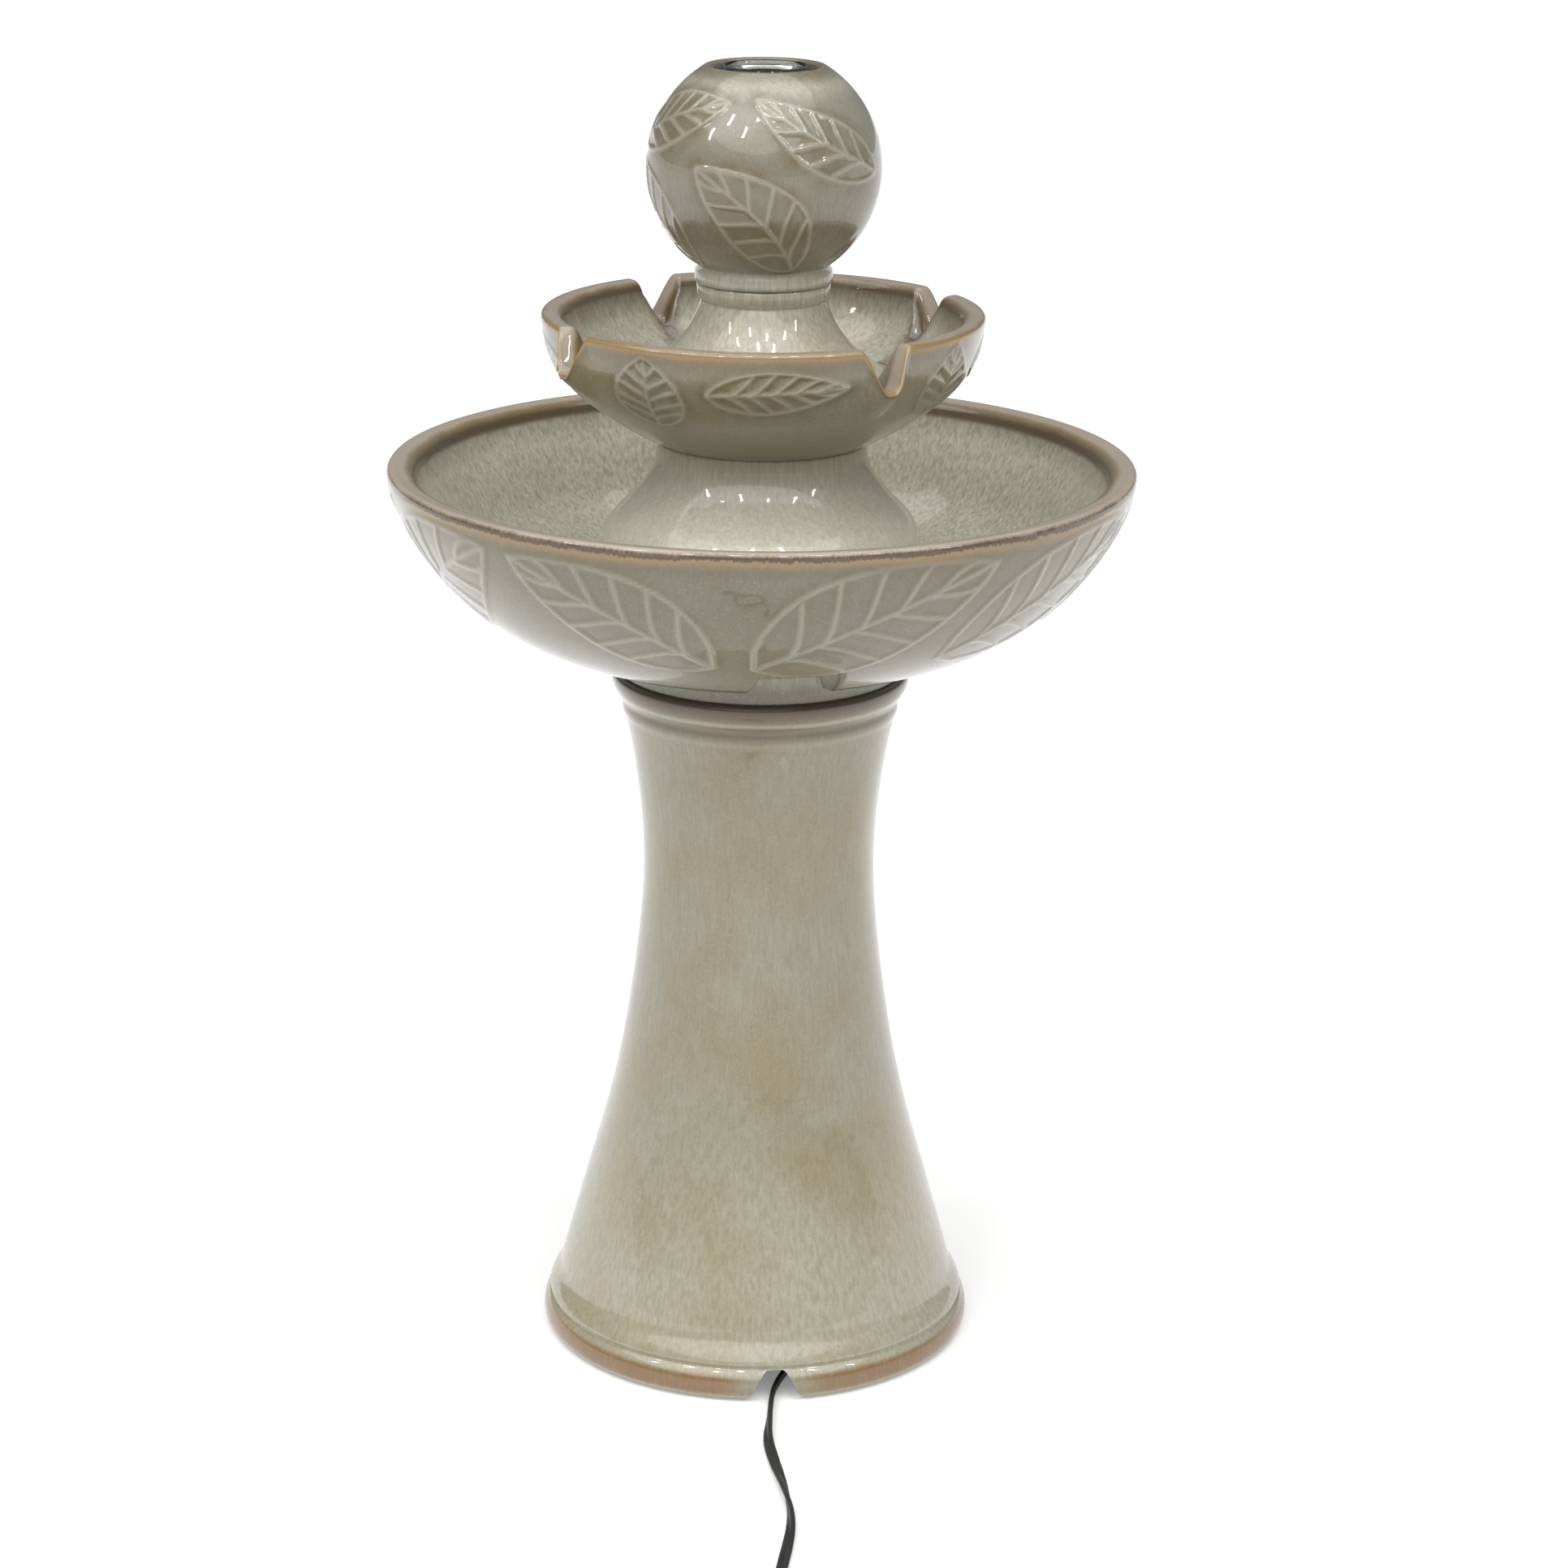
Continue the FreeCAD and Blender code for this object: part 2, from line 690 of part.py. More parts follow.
def pump_volute():
    """The impeller's chamber, with an inlet eye in front and the outlet on top."""
    block = pump_block("volute_block", "volute_front", "motor_front")
    chamber = on_shaft("chamber", "chamber_radius", "volute_front + front_wall",
                       "motor_front - volute_front - front_wall")
    eye = on_shaft("eye", "eye_radius", "volute_front - 1", "front_wall + 2")
    outlet = cylinder("outlet_bore", "outlet_seat", "pump_top - shaft_height",
                      z="shaft_height + 8")
    hollowed = cut("volute_hollow", block, chamber, eye, outlet, *foot_holes()[:2])
    bar = box("eye_bar", "0", "volute_front", "shaft_height - shaft_radius", "2 * eye_radius + 1",
              "front_wall", "2 * shaft_radius")
    hub = on_shaft("eye_hub", "bush_radius + 1", "volute_front", "front_wall")
    socket = on_shaft("bush_socket", "bush_radius", "volute_front + 1", "front_wall")
    return node(cut("volute", fuse("volute_whole", hollowed, bar, hub), socket), "pump_volute")


def shaft_bore(name):
    """The running bore of a piece that turns on the shaft."""
    return on_shaft(name, "shaft_radius + running_gap", "shaft_front", "shaft_length")


def impeller():
    """The impeller: a hub, a back plate and straight vanes, turning on the fixed shaft."""
    hub = on_shaft("impeller_hub", "hub_radius", "vane_front - 0.4", "vane_length + 1.5")
    plate = on_shaft("impeller_back", "impeller_radius", "vane_front + vane_length - 0.4",
                     "impeller_plate")
    vanes = []
    for i in range(VANES):
        vane = doc.addObject("Part::Box", f"vane_{i}")
        bind(vane, Length="vane_thickness", Width="vane_length", Height="impeller_radius")
        turn = Rotation(Vector(0, 1, 0), 360 * i / VANES)
        corner = turn.multVec(Vector(-size("vane_thickness") / 2, 0, 0))
        vane.Placement = Placement(
            Vector(corner.x, size("vane_front"), size("shaft_height") + corner.z), turn
        )
        vanes.append(vane)
    whole = fuse("impeller_vanes", hub, plate, *vanes)
    return node(cut("impeller_whole", whole, shaft_bore("impeller_bore")), "impeller")


def magnet_rotor():
    """The ring magnet behind the impeller."""
    ring = on_shaft("magnet_ring", "rotor_bore - magnet_gap", "magnet_front", "magnet_length")
    return node(cut("magnet", ring, shaft_bore("magnet_bore")), "magnet_rotor")


def rotor_shaft():
    return node(on_shaft("shaft", "shaft_radius", "shaft_front", "shaft_length"), "rotor_shaft")


def bush(name, radius, front, length):
    """A rubber bush that holds one end of the shaft."""
    ring = on_shaft(name + "_ring", radius, front, length)
    bore = on_shaft(name + "_bore", "shaft_radius", front, length)
    return node(cut(name + "_cut", ring, bore), name)


def intake_strainer():
    """The slotted cover in front of the pump, open at the back."""
    block = pump_block("strainer_block", "strainer_front", "volute_front")
    room = box("strainer_room", "0", "strainer_front + strainer_wall",
               "pump_bottom + strainer_wall", "pump_width - 2 * strainer_wall",
               "volute_front - strainer_front", "pump_top - pump_bottom - 2 * strainer_wall")
    slots = []
    for i in range(STRAINER_SLOTS):
        across = f"{i - (STRAINER_SLOTS - 1) / 2} * slot_pitch"
        slots.append(box(f"front_slot_{i}", across, "strainer_front - 1",
                         "pump_bottom + slot_margin", "slot_width", "2 * strainer_wall",
                         "pump_top - pump_bottom - 2 * slot_margin"))
        slots.append(box(f"side_slot_{i}", "0",
                         f"strainer_front + 2 * strainer_wall + {i} * side_slot_pitch",
                         "pump_bottom + slot_margin", "pump_width + 2", "side_slot_width",
                         "pump_top - pump_bottom - 2 * slot_margin"))
    boss = on_shaft("dial_boss", "dial_boss", "strainer_front", "strainer_wall")
    cage = cut("strainer_cage", block, room, *slots)
    pivot = on_shaft("dial_pivot_hole", "dial_pin + running_gap", "strainer_front - 1",
                     "strainer_wall + 4")
    return node(cut("strainer", fuse("strainer_whole", cage, boss), pivot), "intake_strainer")


def flow_dial():
    """The dial that covers more or less of the strainer's slots."""
    disc = on_shaft("dial_disc", "dial_radius", "strainer_front - dial_plate - dial_gap",
                    "dial_plate")
    window = box("dial_window", "0", "strainer_front - 2 * dial_plate",
                 "shaft_height + dial_radius - 7", "12", "3 * dial_plate", "12")
    grip = box("dial_grip", "0", "strainer_front - 2 * dial_plate - dial_gap",
               "shaft_height - dial_radius + 2", "2.4", "dial_plate + 0.2", "12")
    pin = on_shaft("dial_pin", "dial_pin", "strainer_front - dial_plate / 2", "strainer_wall + 3")
    return node(fuse("dial", cut("dial_plate", disc, window), grip, pin), "flow_dial")


def outlet_nozzle():
    """The stem on the pump's outlet that the hose is pushed over."""
    return node(turned("nozzle", [
        ("nozzle_bore", "pump_top - 5.5"),
        ("nozzle_stem", "pump_top - 5.5"),
        ("nozzle_stem", "pump_top - 4.2"),
        ("o_ring_groove", "pump_top - 4.2"),
        ("o_ring_groove", "pump_top - 3"),
        ("nozzle_stem", "pump_top - 3"),
        ("nozzle_stem", "pump_top"),
        ("8", "pump_top"),
        ("8", "pump_top + 2"),
        ("hose_bore", "pump_top + 2"),
        ("hose_bore", "pump_top + 16"),
        ("hose_bore - 0.7", "pump_top + 19"),
        ("nozzle_bore", "pump_top + 19"),
    ]), "outlet_nozzle")


def nozzle_o_ring():
    ring = doc.addObject("Part::Torus", "o_ring")
    bind(ring, Radius1="o_ring_groove + o_ring_wire", Radius2="o_ring_wire")
    place(ring, z="pump_top - 3.6")
    return node(ring, "nozzle_o_ring")


def suction_feet():
    """Four rubber suction feet under the pump."""
    feet = []
    for i, (x, y) in enumerate(FOOT_PLACES):
        skirt = cone(f"foot_skirt_{i}", "foot_skirt", "foot_stem + 1", "pump_bottom - basin_floor",
                     f"{x}", f"{y}", "basin_floor")
        stem = cylinder(f"foot_stem_{i}", "foot_stem", "pump_bottom - basin_floor + foot_stem_depth",
                        f"{x}", f"{y}", "basin_floor")
        feet.append(fuse(f"foot_{i}", skirt, stem))
    return node(fuse("feet", *feet), "suction_feet")


def strain_relief():
    """The tapered gland at the back of the pump."""
    collar = on_shaft("gland_collar", "gland_radius", "motor_back", "gland_collar")
    taper = cone("gland_cone", "gland_radius - 1.2", "cord_width / 2 + 0.6", "gland_taper",
                 "0", "motor_back + gland_collar", "shaft_height", "y")
    return node(fuse("gland", collar, taper), "strain_relief")


# ---------------------------------------------------------------- cord and plug

def rounded_path(points):
    """Straight runs joined by tangent arcs, each as large as its two runs allow."""
    corners = [Vector(*point) for point in points]
    edges, start, radii = [], corners[0], []
    for before, corner, after in zip(corners, corners[1:], corners[2:]):
        back, ahead = (before - corner), (after - corner)
        setback = 0.45 * min(back.Length, ahead.Length)
        back.normalize()
        ahead.normalize()
        turn = math.pi - back.getAngle(ahead)
        radius = setback / math.tan(turn / 2)
        radii.append(radius)
        first, last = corner + back * setback, corner + ahead * setback
        inward = (back + ahead).normalize()
        middle = corner + inward * (radius / math.cos(turn / 2) - radius)
        edges += [Part.LineSegment(start, first).toShape(), Part.Arc(first, middle, last).toShape()]
        start = last
    edges.append(Part.LineSegment(start, corners[-1]).toShape())
    return Part.Wire(edges), radii


def cord_tube(label, points):
    """One stretch of the cord as a plain round tube along its route."""
    path, radii = rounded_path(points)
    heading = Vector(*points[1]) - Vector(*points[0])
    circle = Part.Circle(Vector(*points[0]), heading, size("cord_width") / 2)
    section = Part.Wire(circle.toShape())
    tube = doc.addObject("Part::Feature", label)
    tube.Shape = path.makePipeShell([section], True, False)
    whole = math.pi * (size("cord_width") / 2) ** 2 * path.Length
    print(f"{label}: length {path.Length:.0f}, volume {tube.Shape.Volume / whole:.4f} of its own")
    print("  radii", " ".join(f"{radius:.0f}" for radius in radii))
    return node(tube, label)


def cord_coil():
    """The outer shape of the neat coil that the rest of the cord is wound into."""
    body = turned("coil", [
        ("coil_radius - cord_width + 1", "0"),
        ("coil_radius + cord_width - 1", "0", "2"),
        ("coil_radius + cord_width", "1"),
        ("coil_radius + cord_width", "cord_width * coil_layers - 1", "2"),
        ("coil_radius + cord_width - 1", "cord_width * coil_layers"),
        ("coil_radius - cord_width + 1", "cord_width * coil_layers", "2"),
        ("coil_radius - cord_width", "cord_width * coil_layers - 1"),
        ("coil_radius - cord_width", "1", "2"),
    ])
    place(body, "coil_x", "coil_y")
    return node(body, "cord_coil")


def plug_body():
    """The moulded two-pin plug beside the coil, with its own strain relief."""
    y, back = "coil_y - coil_radius - cord_width / 2", "coil_x - tail_length"
    block = box("plug_block", f"{back} - relief_length - plug_length / 2",
                f"{y} - plug_width / 2", "0", "plug_length", "plug_width", "plug_thickness")
    block = rounded("plug_rounded", block, "3.5", along(Vector(1, 0, 0)))
    relief = cone("plug_relief", "6", "cord_width / 2 + 0.6", "relief_length + 2",
                  f"{back} - relief_length - 2", y, "plug_thickness / 2", "x")
    return node(fuse("plug", block, relief), "plug_body")


def plug_blades():
    """The plug's two flat blades."""
    y = "coil_y - coil_radius - cord_width / 2"
    front = "coil_x - tail_length - relief_length - plug_length - blade_length / 2"
    blades = [
        box(f"blade_{i}", front, f"{y} - blade_thickness / 2 + {side} * blade_spacing / 2",
            "(plug_thickness - blade_width) / 2", "blade_length", "blade_thickness", "blade_width")
        for i, side in enumerate((-1, 1))
    ]
    return node(fuse("blades", *blades), "plug_blades")


# ---------------------------------------------------------------- the fountain

pedestal()
basin()
cord_grommet()
pump_cover()
upper_bowl()
globe()
water_cup()
supply_hose()
column_stopper()
jet_nozzle()
pump_housing()
stator_core()
stator_winding()
potting_resin()
pump_volute()
impeller()
magnet_rotor()
rotor_shaft()
bush("front_bush", "bush_radius", "volute_front + 1", "2")
bush("rear_bush", "rotor_bore", "well_back - 2", "2")
intake_strainer()
flow_dial()
outlet_nozzle()
nozzle_o_ring()
suction_feet()
strain_relief()
cord_tube("inner_cord", INNER_CORD_ROUTE)
cord_tube("cord", CORD_ROUTE)
cord_coil()
plug_body()
plug_blades()
doc.recompute()

for thing in doc.Objects:
    if {"Invalid", "Error"} & set(thing.State):
        raise RuntimeError(f"{thing.Name} failed: {thing.State}")
os.makedirs("parts", exist_ok=True)
for piece in PARTS:
    if piece.Shape.isNull() or not piece.Shape.isValid():
        raise RuntimeError(f"{piece.Label} has no valid shape")
    solids = len(piece.Shape.Solids)
    print(f"{piece.Label}: {solids} solid(s), {piece.Shape.Volume / 1000:.2f} cm3")
    piece.Shape.exportStep(f"parts/{piece.Label}.step")
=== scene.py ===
"""A three-tier ceramic water fountain: its looks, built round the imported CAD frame.

Lengths in this file are millimetres, as in the CAD source, and become metres when a mesh is made.
Azimuth 0 is the front, -Y, and grows towards +X. Profiles are (radius, height) from the axis.
"""

import json
import math

import bpy
import numpy as np
from mathutils import Euler, Matrix, Vector


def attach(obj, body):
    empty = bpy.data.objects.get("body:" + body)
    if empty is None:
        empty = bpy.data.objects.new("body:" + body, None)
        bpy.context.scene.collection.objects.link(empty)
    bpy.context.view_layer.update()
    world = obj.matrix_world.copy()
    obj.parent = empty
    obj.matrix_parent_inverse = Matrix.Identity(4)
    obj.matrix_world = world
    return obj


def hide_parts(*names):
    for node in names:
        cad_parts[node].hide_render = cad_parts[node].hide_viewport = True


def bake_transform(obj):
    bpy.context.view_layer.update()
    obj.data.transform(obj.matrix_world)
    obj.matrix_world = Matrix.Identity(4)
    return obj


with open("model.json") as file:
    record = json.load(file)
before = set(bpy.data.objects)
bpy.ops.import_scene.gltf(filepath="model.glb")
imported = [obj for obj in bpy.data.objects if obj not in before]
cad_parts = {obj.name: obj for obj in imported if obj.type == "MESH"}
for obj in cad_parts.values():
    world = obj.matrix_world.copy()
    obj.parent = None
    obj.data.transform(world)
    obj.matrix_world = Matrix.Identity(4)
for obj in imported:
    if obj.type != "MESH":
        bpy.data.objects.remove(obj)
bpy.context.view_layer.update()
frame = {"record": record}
MM = 0.001
SCENE = bpy.context.scene
BODY_OF = {n: body for body, names in frame["record"]["behaviour"]["bodies"].items() for n in names}

# ---------------------------------------------------------------- camera

# The place is in metres, the angles in degrees.
CAMERA_PLACE = (0.0135, -2.120, 0.985)
CAMERA_PITCH = 17.55
CAMERA_ROLL = 0.6
CAMERA_LENS = 93.17


def make_camera():
    data = bpy.data.cameras.new("camera")
    data.sensor_width = 36
    data.lens = CAMERA_LENS
    camera = bpy.data.objects.new("camera", data)
    tilt = Euler((math.radians(90 - CAMERA_PITCH), 0, 0)).to_matrix()
    roll = Matrix.Rotation(math.radians(CAMERA_ROLL), 3, "Z")
    camera.matrix_world = Matrix.Translation(CAMERA_PLACE) @ (tilt @ roll).to_4x4()
    SCENE.collection.objects.link(camera)
    SCENE.camera = camera


make_camera()

# ---------------------------------------------------------------- materials: helpers


def add(tree, kind, inputs=None, **settings):
    """A shader node with its inputs set or linked; returns its first output."""
    made = tree.nodes.new("ShaderNode" + kind)
    for key, value in settings.items():
        setattr(made, key, value)
    for key, value in (inputs or {}).items():
        if isinstance(value, bpy.types.NodeSocket):
            tree.links.new(value, made.inputs[key])
        else:
            made.inputs[key].default_value = value
    return made.outputs[0]


def mixed(tree, factor, first, second, blend="MIX"):
    """A colour between two colours."""
    made = tree.nodes.new("ShaderNodeMix")
    made.data_type = "RGBA"
    made.blend_type = blend
    for key, value in ((0, factor), (6, first), (7, second)):
        if isinstance(value, bpy.types.NodeSocket):
            tree.links.new(value, made.inputs[key])
        else:
            made.inputs[key].default_value = value if key == 0 else (*value, 1)
    return made.outputs[2]


def ramp(tree, factor, stops):
    """Colour and alpha along stops of (position, colour, alpha)."""
    made = tree.nodes.new("ShaderNodeValToRGB")
    tree.links.new(factor, made.inputs[0])
    elements = made.color_ramp.elements
    while len(elements) < len(stops):
        elements.new(1)
    for element, (position, colour, alpha) in zip(elements, stops):
        element.position = position
        element.color = (*colour, alpha)
    return made.outputs[0], made.outputs[1]


def grey_ramp(tree, factor, low, high, to_low=0.0, to_high=1.0):
    """A number that goes from to_low to to_high as factor goes from low to high."""
    return add(tree, "MapRange", {0: factor, 1: low, 2: high, 3: to_low, 4: to_high}, clamp=True)


def maths(tree, operation, first, second):
    return add(tree, "Math", {0: first, 1: second}, operation=operation)


def product(tree, first, second):
    return maths(tree, "MULTIPLY", first, second)


def place_of(tree, stretch=(1, 1, 1)):
    """The point on the object, stretched along its axes."""
    coordinates = tree.nodes.new("ShaderNodeTexCoord").outputs["Object"]
    return add(tree, "Mapping", {"Vector": coordinates, "Scale": stretch})


def noise(tree, size_mm, detail=3, stretch=(1, 1, 1), roughness=0.55):
    """Noise from 0 to 1 whose grains are about size_mm across."""
    inputs = {"Vector": place_of(tree, stretch), "Scale": 1000 / size_mm}
    return add(tree, "TexNoise", {**inputs, "Detail": detail, "Roughness": roughness})


def field(tree, name):
    """A number stored on the mesh's points."""
    made = tree.nodes.new("ShaderNodeAttribute")
    made.attribute_name = name
    return made.outputs["Fac"]


def bump(tree, height, depth_mm, below=None):
    inputs = {"Height": height, "Distance": depth_mm * MM, "Strength": 1.0}
    if below is not None:
        inputs["Normal"] = below
    return add(tree, "Bump", inputs)


def material(name, **values):
    """A material with its Principled shader's plain values set."""
    made = bpy.data.materials.new(name)
    made.use_nodes = True
    shader = made.node_tree.nodes["Principled BSDF"]
    for key, value in values.items():
        shader.inputs[key.replace("_", " ")].default_value = value
    return made, made.node_tree, shader


# ---------------------------------------------------------------- materials: glaze

BROWN = (0.080, 0.046, 0.017)
DARK_BROWN = (0.045, 0.024, 0.012)
GOLD = (0.25, 0.165, 0.06)
TAN = (0.19, 0.125, 0.048)
OLIVE = (0.115, 0.088, 0.04)
PINK_GREY = (0.36, 0.30, 0.235)
WARM_GREY = (0.238, 0.199, 0.112)
COOL_GREY = (0.258, 0.250, 0.180)
PALE_GREEN = (0.35, 0.345, 0.27)
PALE_RIDGE = (0.38, 0.365, 0.27)
PALE = (0.56, 0.54, 0.43)
SPECKLE = (0.13, 0.10, 0.055)


def glaze_ground(tree, clouds, streaks, warm, cool):
    """The glaze away from relief and rim: mottled, streaked and speckled, and pale where it is thick."""
    ground = mixed(tree, clouds, warm, cool)
    ground = mixed(tree, field(tree, "pale"), ground, PALE)
    darker = tuple(0.78 * c for c in warm)
    ground = mixed(tree, grey_ramp(tree, streaks, 0.35, 0.7, 0, 0.5), ground, darker)
    fine = noise(tree, 0.8, 3, (1, 1, 0.4))
    fewer_where_pale = grey_ramp(tree, field(tree, "pale"), 0, 1, 1, 0.4)
    specks = product(tree, grey_ramp(tree, fine, 0.58, 0.74, 0, 0.42), fewer_where_pale)
    ground = mixed(tree, specks, ground, SPECKLE)
    return mixed(tree, grey_ramp(tree, fine, 0.3, 0.45, 0.25, 0), ground, PALE_RIDGE)


def glaze_on_relief(tree, ground, streaks, dark_glaze_and_shade, dark_glaze_and_shade_amount):
    """Darker patches of glaze and painted shade, brown pools at the feet of the relief and pale glaze over
    its crests.
    """
    dark_patch_and_shade = product(tree, field(tree, "dark_glaze_and_shade"), grey_ramp(tree, streaks, 0.3, 0.65, 0.55, 1.0))
    ground = mixed(tree, product(tree, dark_patch_and_shade, dark_glaze_and_shade_amount), ground, dark_glaze_and_shade)
    uneven = grey_ramp(tree, noise(tree, 9, 3), 0.35, 0.62, 0.25, 0.95)
    ground = mixed(tree, product(tree, field(tree, "pool"), uneven), ground, OLIVE)
    return mixed(tree, product(tree, field(tree, "ridge"), 0.4), ground, PALE_RIDGE)


def swing(tree, value, width):
    """A number that goes from 0 to 1, made to go width in all, with nought in its middle."""
    return product(tree, maths(tree, "SUBTRACT", value, 0.5), width)


def glaze_on_rim(tree, ground, stops):
    """Bands of colour along a rim, at stops of (millimetres, colour, amount), that run and wander."""
    low, high = stops[0][0], stops[-1][0]
    drift = swing(tree, noise(tree, 1.6, 4, (1, 1, 0.12), 0.7), 4.5)
    wander = swing(tree, noise(tree, 26, 2), 3.5)
    shift = product(tree, maths(tree, "ADD", drift, wander), field(tree, "loose"))
    along_rim = maths(tree, "ADD", field(tree, "rim"), shift)
    along_ramp = grey_ramp(tree, along_rim, low, high)
    places = [((at - low) / (high - low), tint, amount) for at, tint, amount in stops]
    colour, alpha = ramp(tree, along_ramp, places)
    return mixed(tree, alpha, ground, colour)


def glaze(name, warm=WARM_GREY, cool=COOL_GREY, dark_glaze_and_shade=OLIVE, rim_stops=(), dark_glaze_and_shade_amount=0.7, tone=1.0):
    """Reactive stoneware glaze: mottled greys with specks, pale over ridges, brown where it pools or thins.

    It reads the mesh's own numbers: rim, millimetres from the rim's outer edge, negative inside;
    loose, how far the rim's bands wander; ridge and pool, the relief's crests and their feet;
    deep, where the glaze turns darker and where shade is painted on; pale, where it is thick and light.
    tone makes the ground colours darker or lighter.
    """
    made, tree, shader = material(name, Coat_Weight=0.8, Coat_Roughness=0.015, Coat_IOR=1.47)
    warm, cool = (tuple(tone * c for c in colour) for colour in (warm, cool))
    clouds = grey_ramp(tree, noise(tree, 70, 4), 0.42, 0.58)
    streaks = noise(tree, 2.0, 4, (1, 1, 0.13))
    ground = glaze_ground(tree, clouds, streaks, warm, cool)
    ground = glaze_on_relief(tree, ground, streaks, dark_glaze_and_shade, dark_glaze_and_shade_amount)
    if rim_stops:
        ground = glaze_on_rim(tree, ground, rim_stops)
    rough = bump(tree, noise(tree, 1.3, 2), 0.035)
    waves = bump(tree, noise(tree, 14, 2), 0.16)
    tree.links.new(ground, shader.inputs["Base Color"])
    tree.links.new(grey_ramp(tree, clouds, 0, 1, 0.3, 0.42), shader.inputs["Roughness"])
    tree.links.new(rough, shader.inputs["Normal"])
    tree.links.new(waves, shader.inputs["Coat Normal"])
    return made


# The bands of each rim: millimetres from its outer edge, colour and amount.
BASIN_RIM = [
    (-60, OLIVE, 0), (-36, BROWN, 0), (-26, BROWN, 0.35), (-19, BROWN, 0.78), (-15.5, TAN, 0.6),
    (-12, PINK_GREY, 0.9), (-4.5, PINK_GREY, 0.85), (-2.2, BROWN, 0.8), (-0.6, DARK_BROWN, 0.9),
    (0.3, GOLD, 0.85), (1.6, GOLD, 0.75), (3.2, TAN, 0.7), (6, OLIVE, 0.5), (11, OLIVE, 0),
]
BOWL_RIM = [
    (-44, OLIVE, 0), (-30, BROWN, 0), (-21, BROWN, 0.4), (-14, BROWN, 0.85), (-11.5, TAN, 0.7),
    (-9, PINK_GREY, 0.75), (-4, PINK_GREY, 0.6), (-1.5, TAN, 0.85), (-0.2, GOLD, 0.95), (1.6, GOLD, 0.85),
    (3, TAN, 0.8), (6, OLIVE, 0.4), (10, OLIVE, 0),
]
LIP_RIM = [
    (-40, DARK_BROWN, 0), (-22, DARK_BROWN, 1), (-0.5, DARK_BROWN, 0.97), (3.4, BROWN, 0.9),
    (6.5, BROWN, 0.7), (8.5, OLIVE, 0.6), (10.5, PALE_RIDGE, 0.25), (13, OLIVE, 0.85), (17, OLIVE, 0.65),
    (21, OLIVE, 0.25), (24, PALE_RIDGE, 0.15), (29, OLIVE, 0),
]

# ---------------------------------------------------------------- materials: pump and cord


def pitted(name, colour, size_mm=0.8, depth_mm=0.05, spread=0.25, **values):
    """A moulded plastic or rubber, with a fine texture and slight changes of tone."""
    made, tree, shader = material(name, **values)
    clouds = grey_ramp(tree, noise(tree, 18, 3), 0.35, 0.65)
    light = tuple(min(1, c * (1 + spread) + 0.01) for c in colour)
    tree.links.new(mixed(tree, clouds, colour, light), shader.inputs["Base Color"])
    base = values.get("Roughness", 0.5)
    tree.links.new(grey_ramp(tree, clouds, 0, 1, base * 0.85, base * 1.15), shader.inputs["Roughness"])
    tree.links.new(bump(tree, noise(tree, size_mm, 2), depth_mm), shader.inputs["Normal"])
    return made


def banded(name, dark, light, pitch_mm, axis, depth_mm, **values):
    """A stack of sheets or a winding of wire: fine bands across an axis."""
    made, tree, shader = material(name, **values)
    inputs = {"Vector": place_of(tree), "Scale": 1000 / pitch_mm / 20 * math.pi, "Distortion": 0.15}
    wave = add(tree, "TexWave", inputs, bands_direction=axis).node.outputs["Fac"]
    worn = grey_ramp(tree, noise(tree, 5, 3), 0.3, 0.7, 0.75, 1)
    colour = mixed(tree, product(tree, wave, worn), dark, light)
    tree.links.new(colour, shader.inputs["Base Color"])
    tree.links.new(bump(tree, wave, depth_mm), shader.inputs["Normal"])
    return made


def clear(name, colour, **values):
    """Clear moulded plastic with faint flow marks."""
    made, tree, shader = material(name, Transmission_Weight=1.0, **values)
    shader.inputs["Base Color"].default_value = (*colour, 1)
    marks = noise(tree, 12, 3, (1, 1, 0.3))
    tree.links.new(grey_ramp(tree, marks, 0.3, 0.7, 0.02, 0.09), shader.inputs["Roughness"])
    tree.links.new(bump(tree, marks, 0.04), shader.inputs["Normal"])
    return made


# ---------------------------------------------------------------- meshes: helpers


def arrays_mesh(name, points, faces, fields=None):
    """A smooth-shaded mesh from points in millimetres, turned to face outwards, with its stored numbers."""
    points = np.asarray(points, float)
    corners = np.array([points[list(f[:3])] for f in faces])
    volume = np.einsum("ij,ij->i", corners[:, 0], np.cross(corners[:, 1], corners[:, 2])).sum()
    fours = np.array([points[[f[0], f[2], f[3]]] for f in faces if len(f) == 4])
    if len(fours):
        volume += np.einsum("ij,ij->i", fours[:, 0], np.cross(fours[:, 1], fours[:, 2])).sum()
    if volume < 0:
        faces = [f[::-1] for f in faces]
    mesh = bpy.data.meshes.new(name)
    mesh.from_pydata((points * MM).tolist(), [], faces)
    for key, values in (fields or {}).items():
        attribute = mesh.attributes.new(key, "FLOAT", "POINT")
        attribute.data.foreach_set("value", np.asarray(values, np.float32))
    mesh.shade_smooth()
    made = bpy.data.objects.new(name, mesh)
    SCENE.collection.objects.link(made)
    return made


def ring_faces(first, n_first, second, n_second):
    """Faces between two rings of points, where one may have half the points of the other, or one point."""
    if n_first == n_second == 1:
        return []
    if n_first == n_second:
        return [
            (first + i, first + (i + 1) % n_first, second + (i + 1) % n_second, second + i)
            for i in range(n_first)
        ]
    if n_second == 1:
        return [(first + i, first + (i + 1) % n_first, second) for i in range(n_first)]
    if n_first == 1:
        return [(first, second + (i + 1) % n_second, second + i) for i in range(n_second)]
    if n_first < n_second:
        return [f[::-1] for f in ring_faces(second, n_second, first, n_first)]
    faces = []
    for k in range(n_second):
        a, b, c = (first + (2 * k + j) % n_first for j in range(3))
        d, e = second + k, second + (k + 1) % n_second
        faces += [(a, b, d), (b, e, d), (b, c, e)]
    return faces


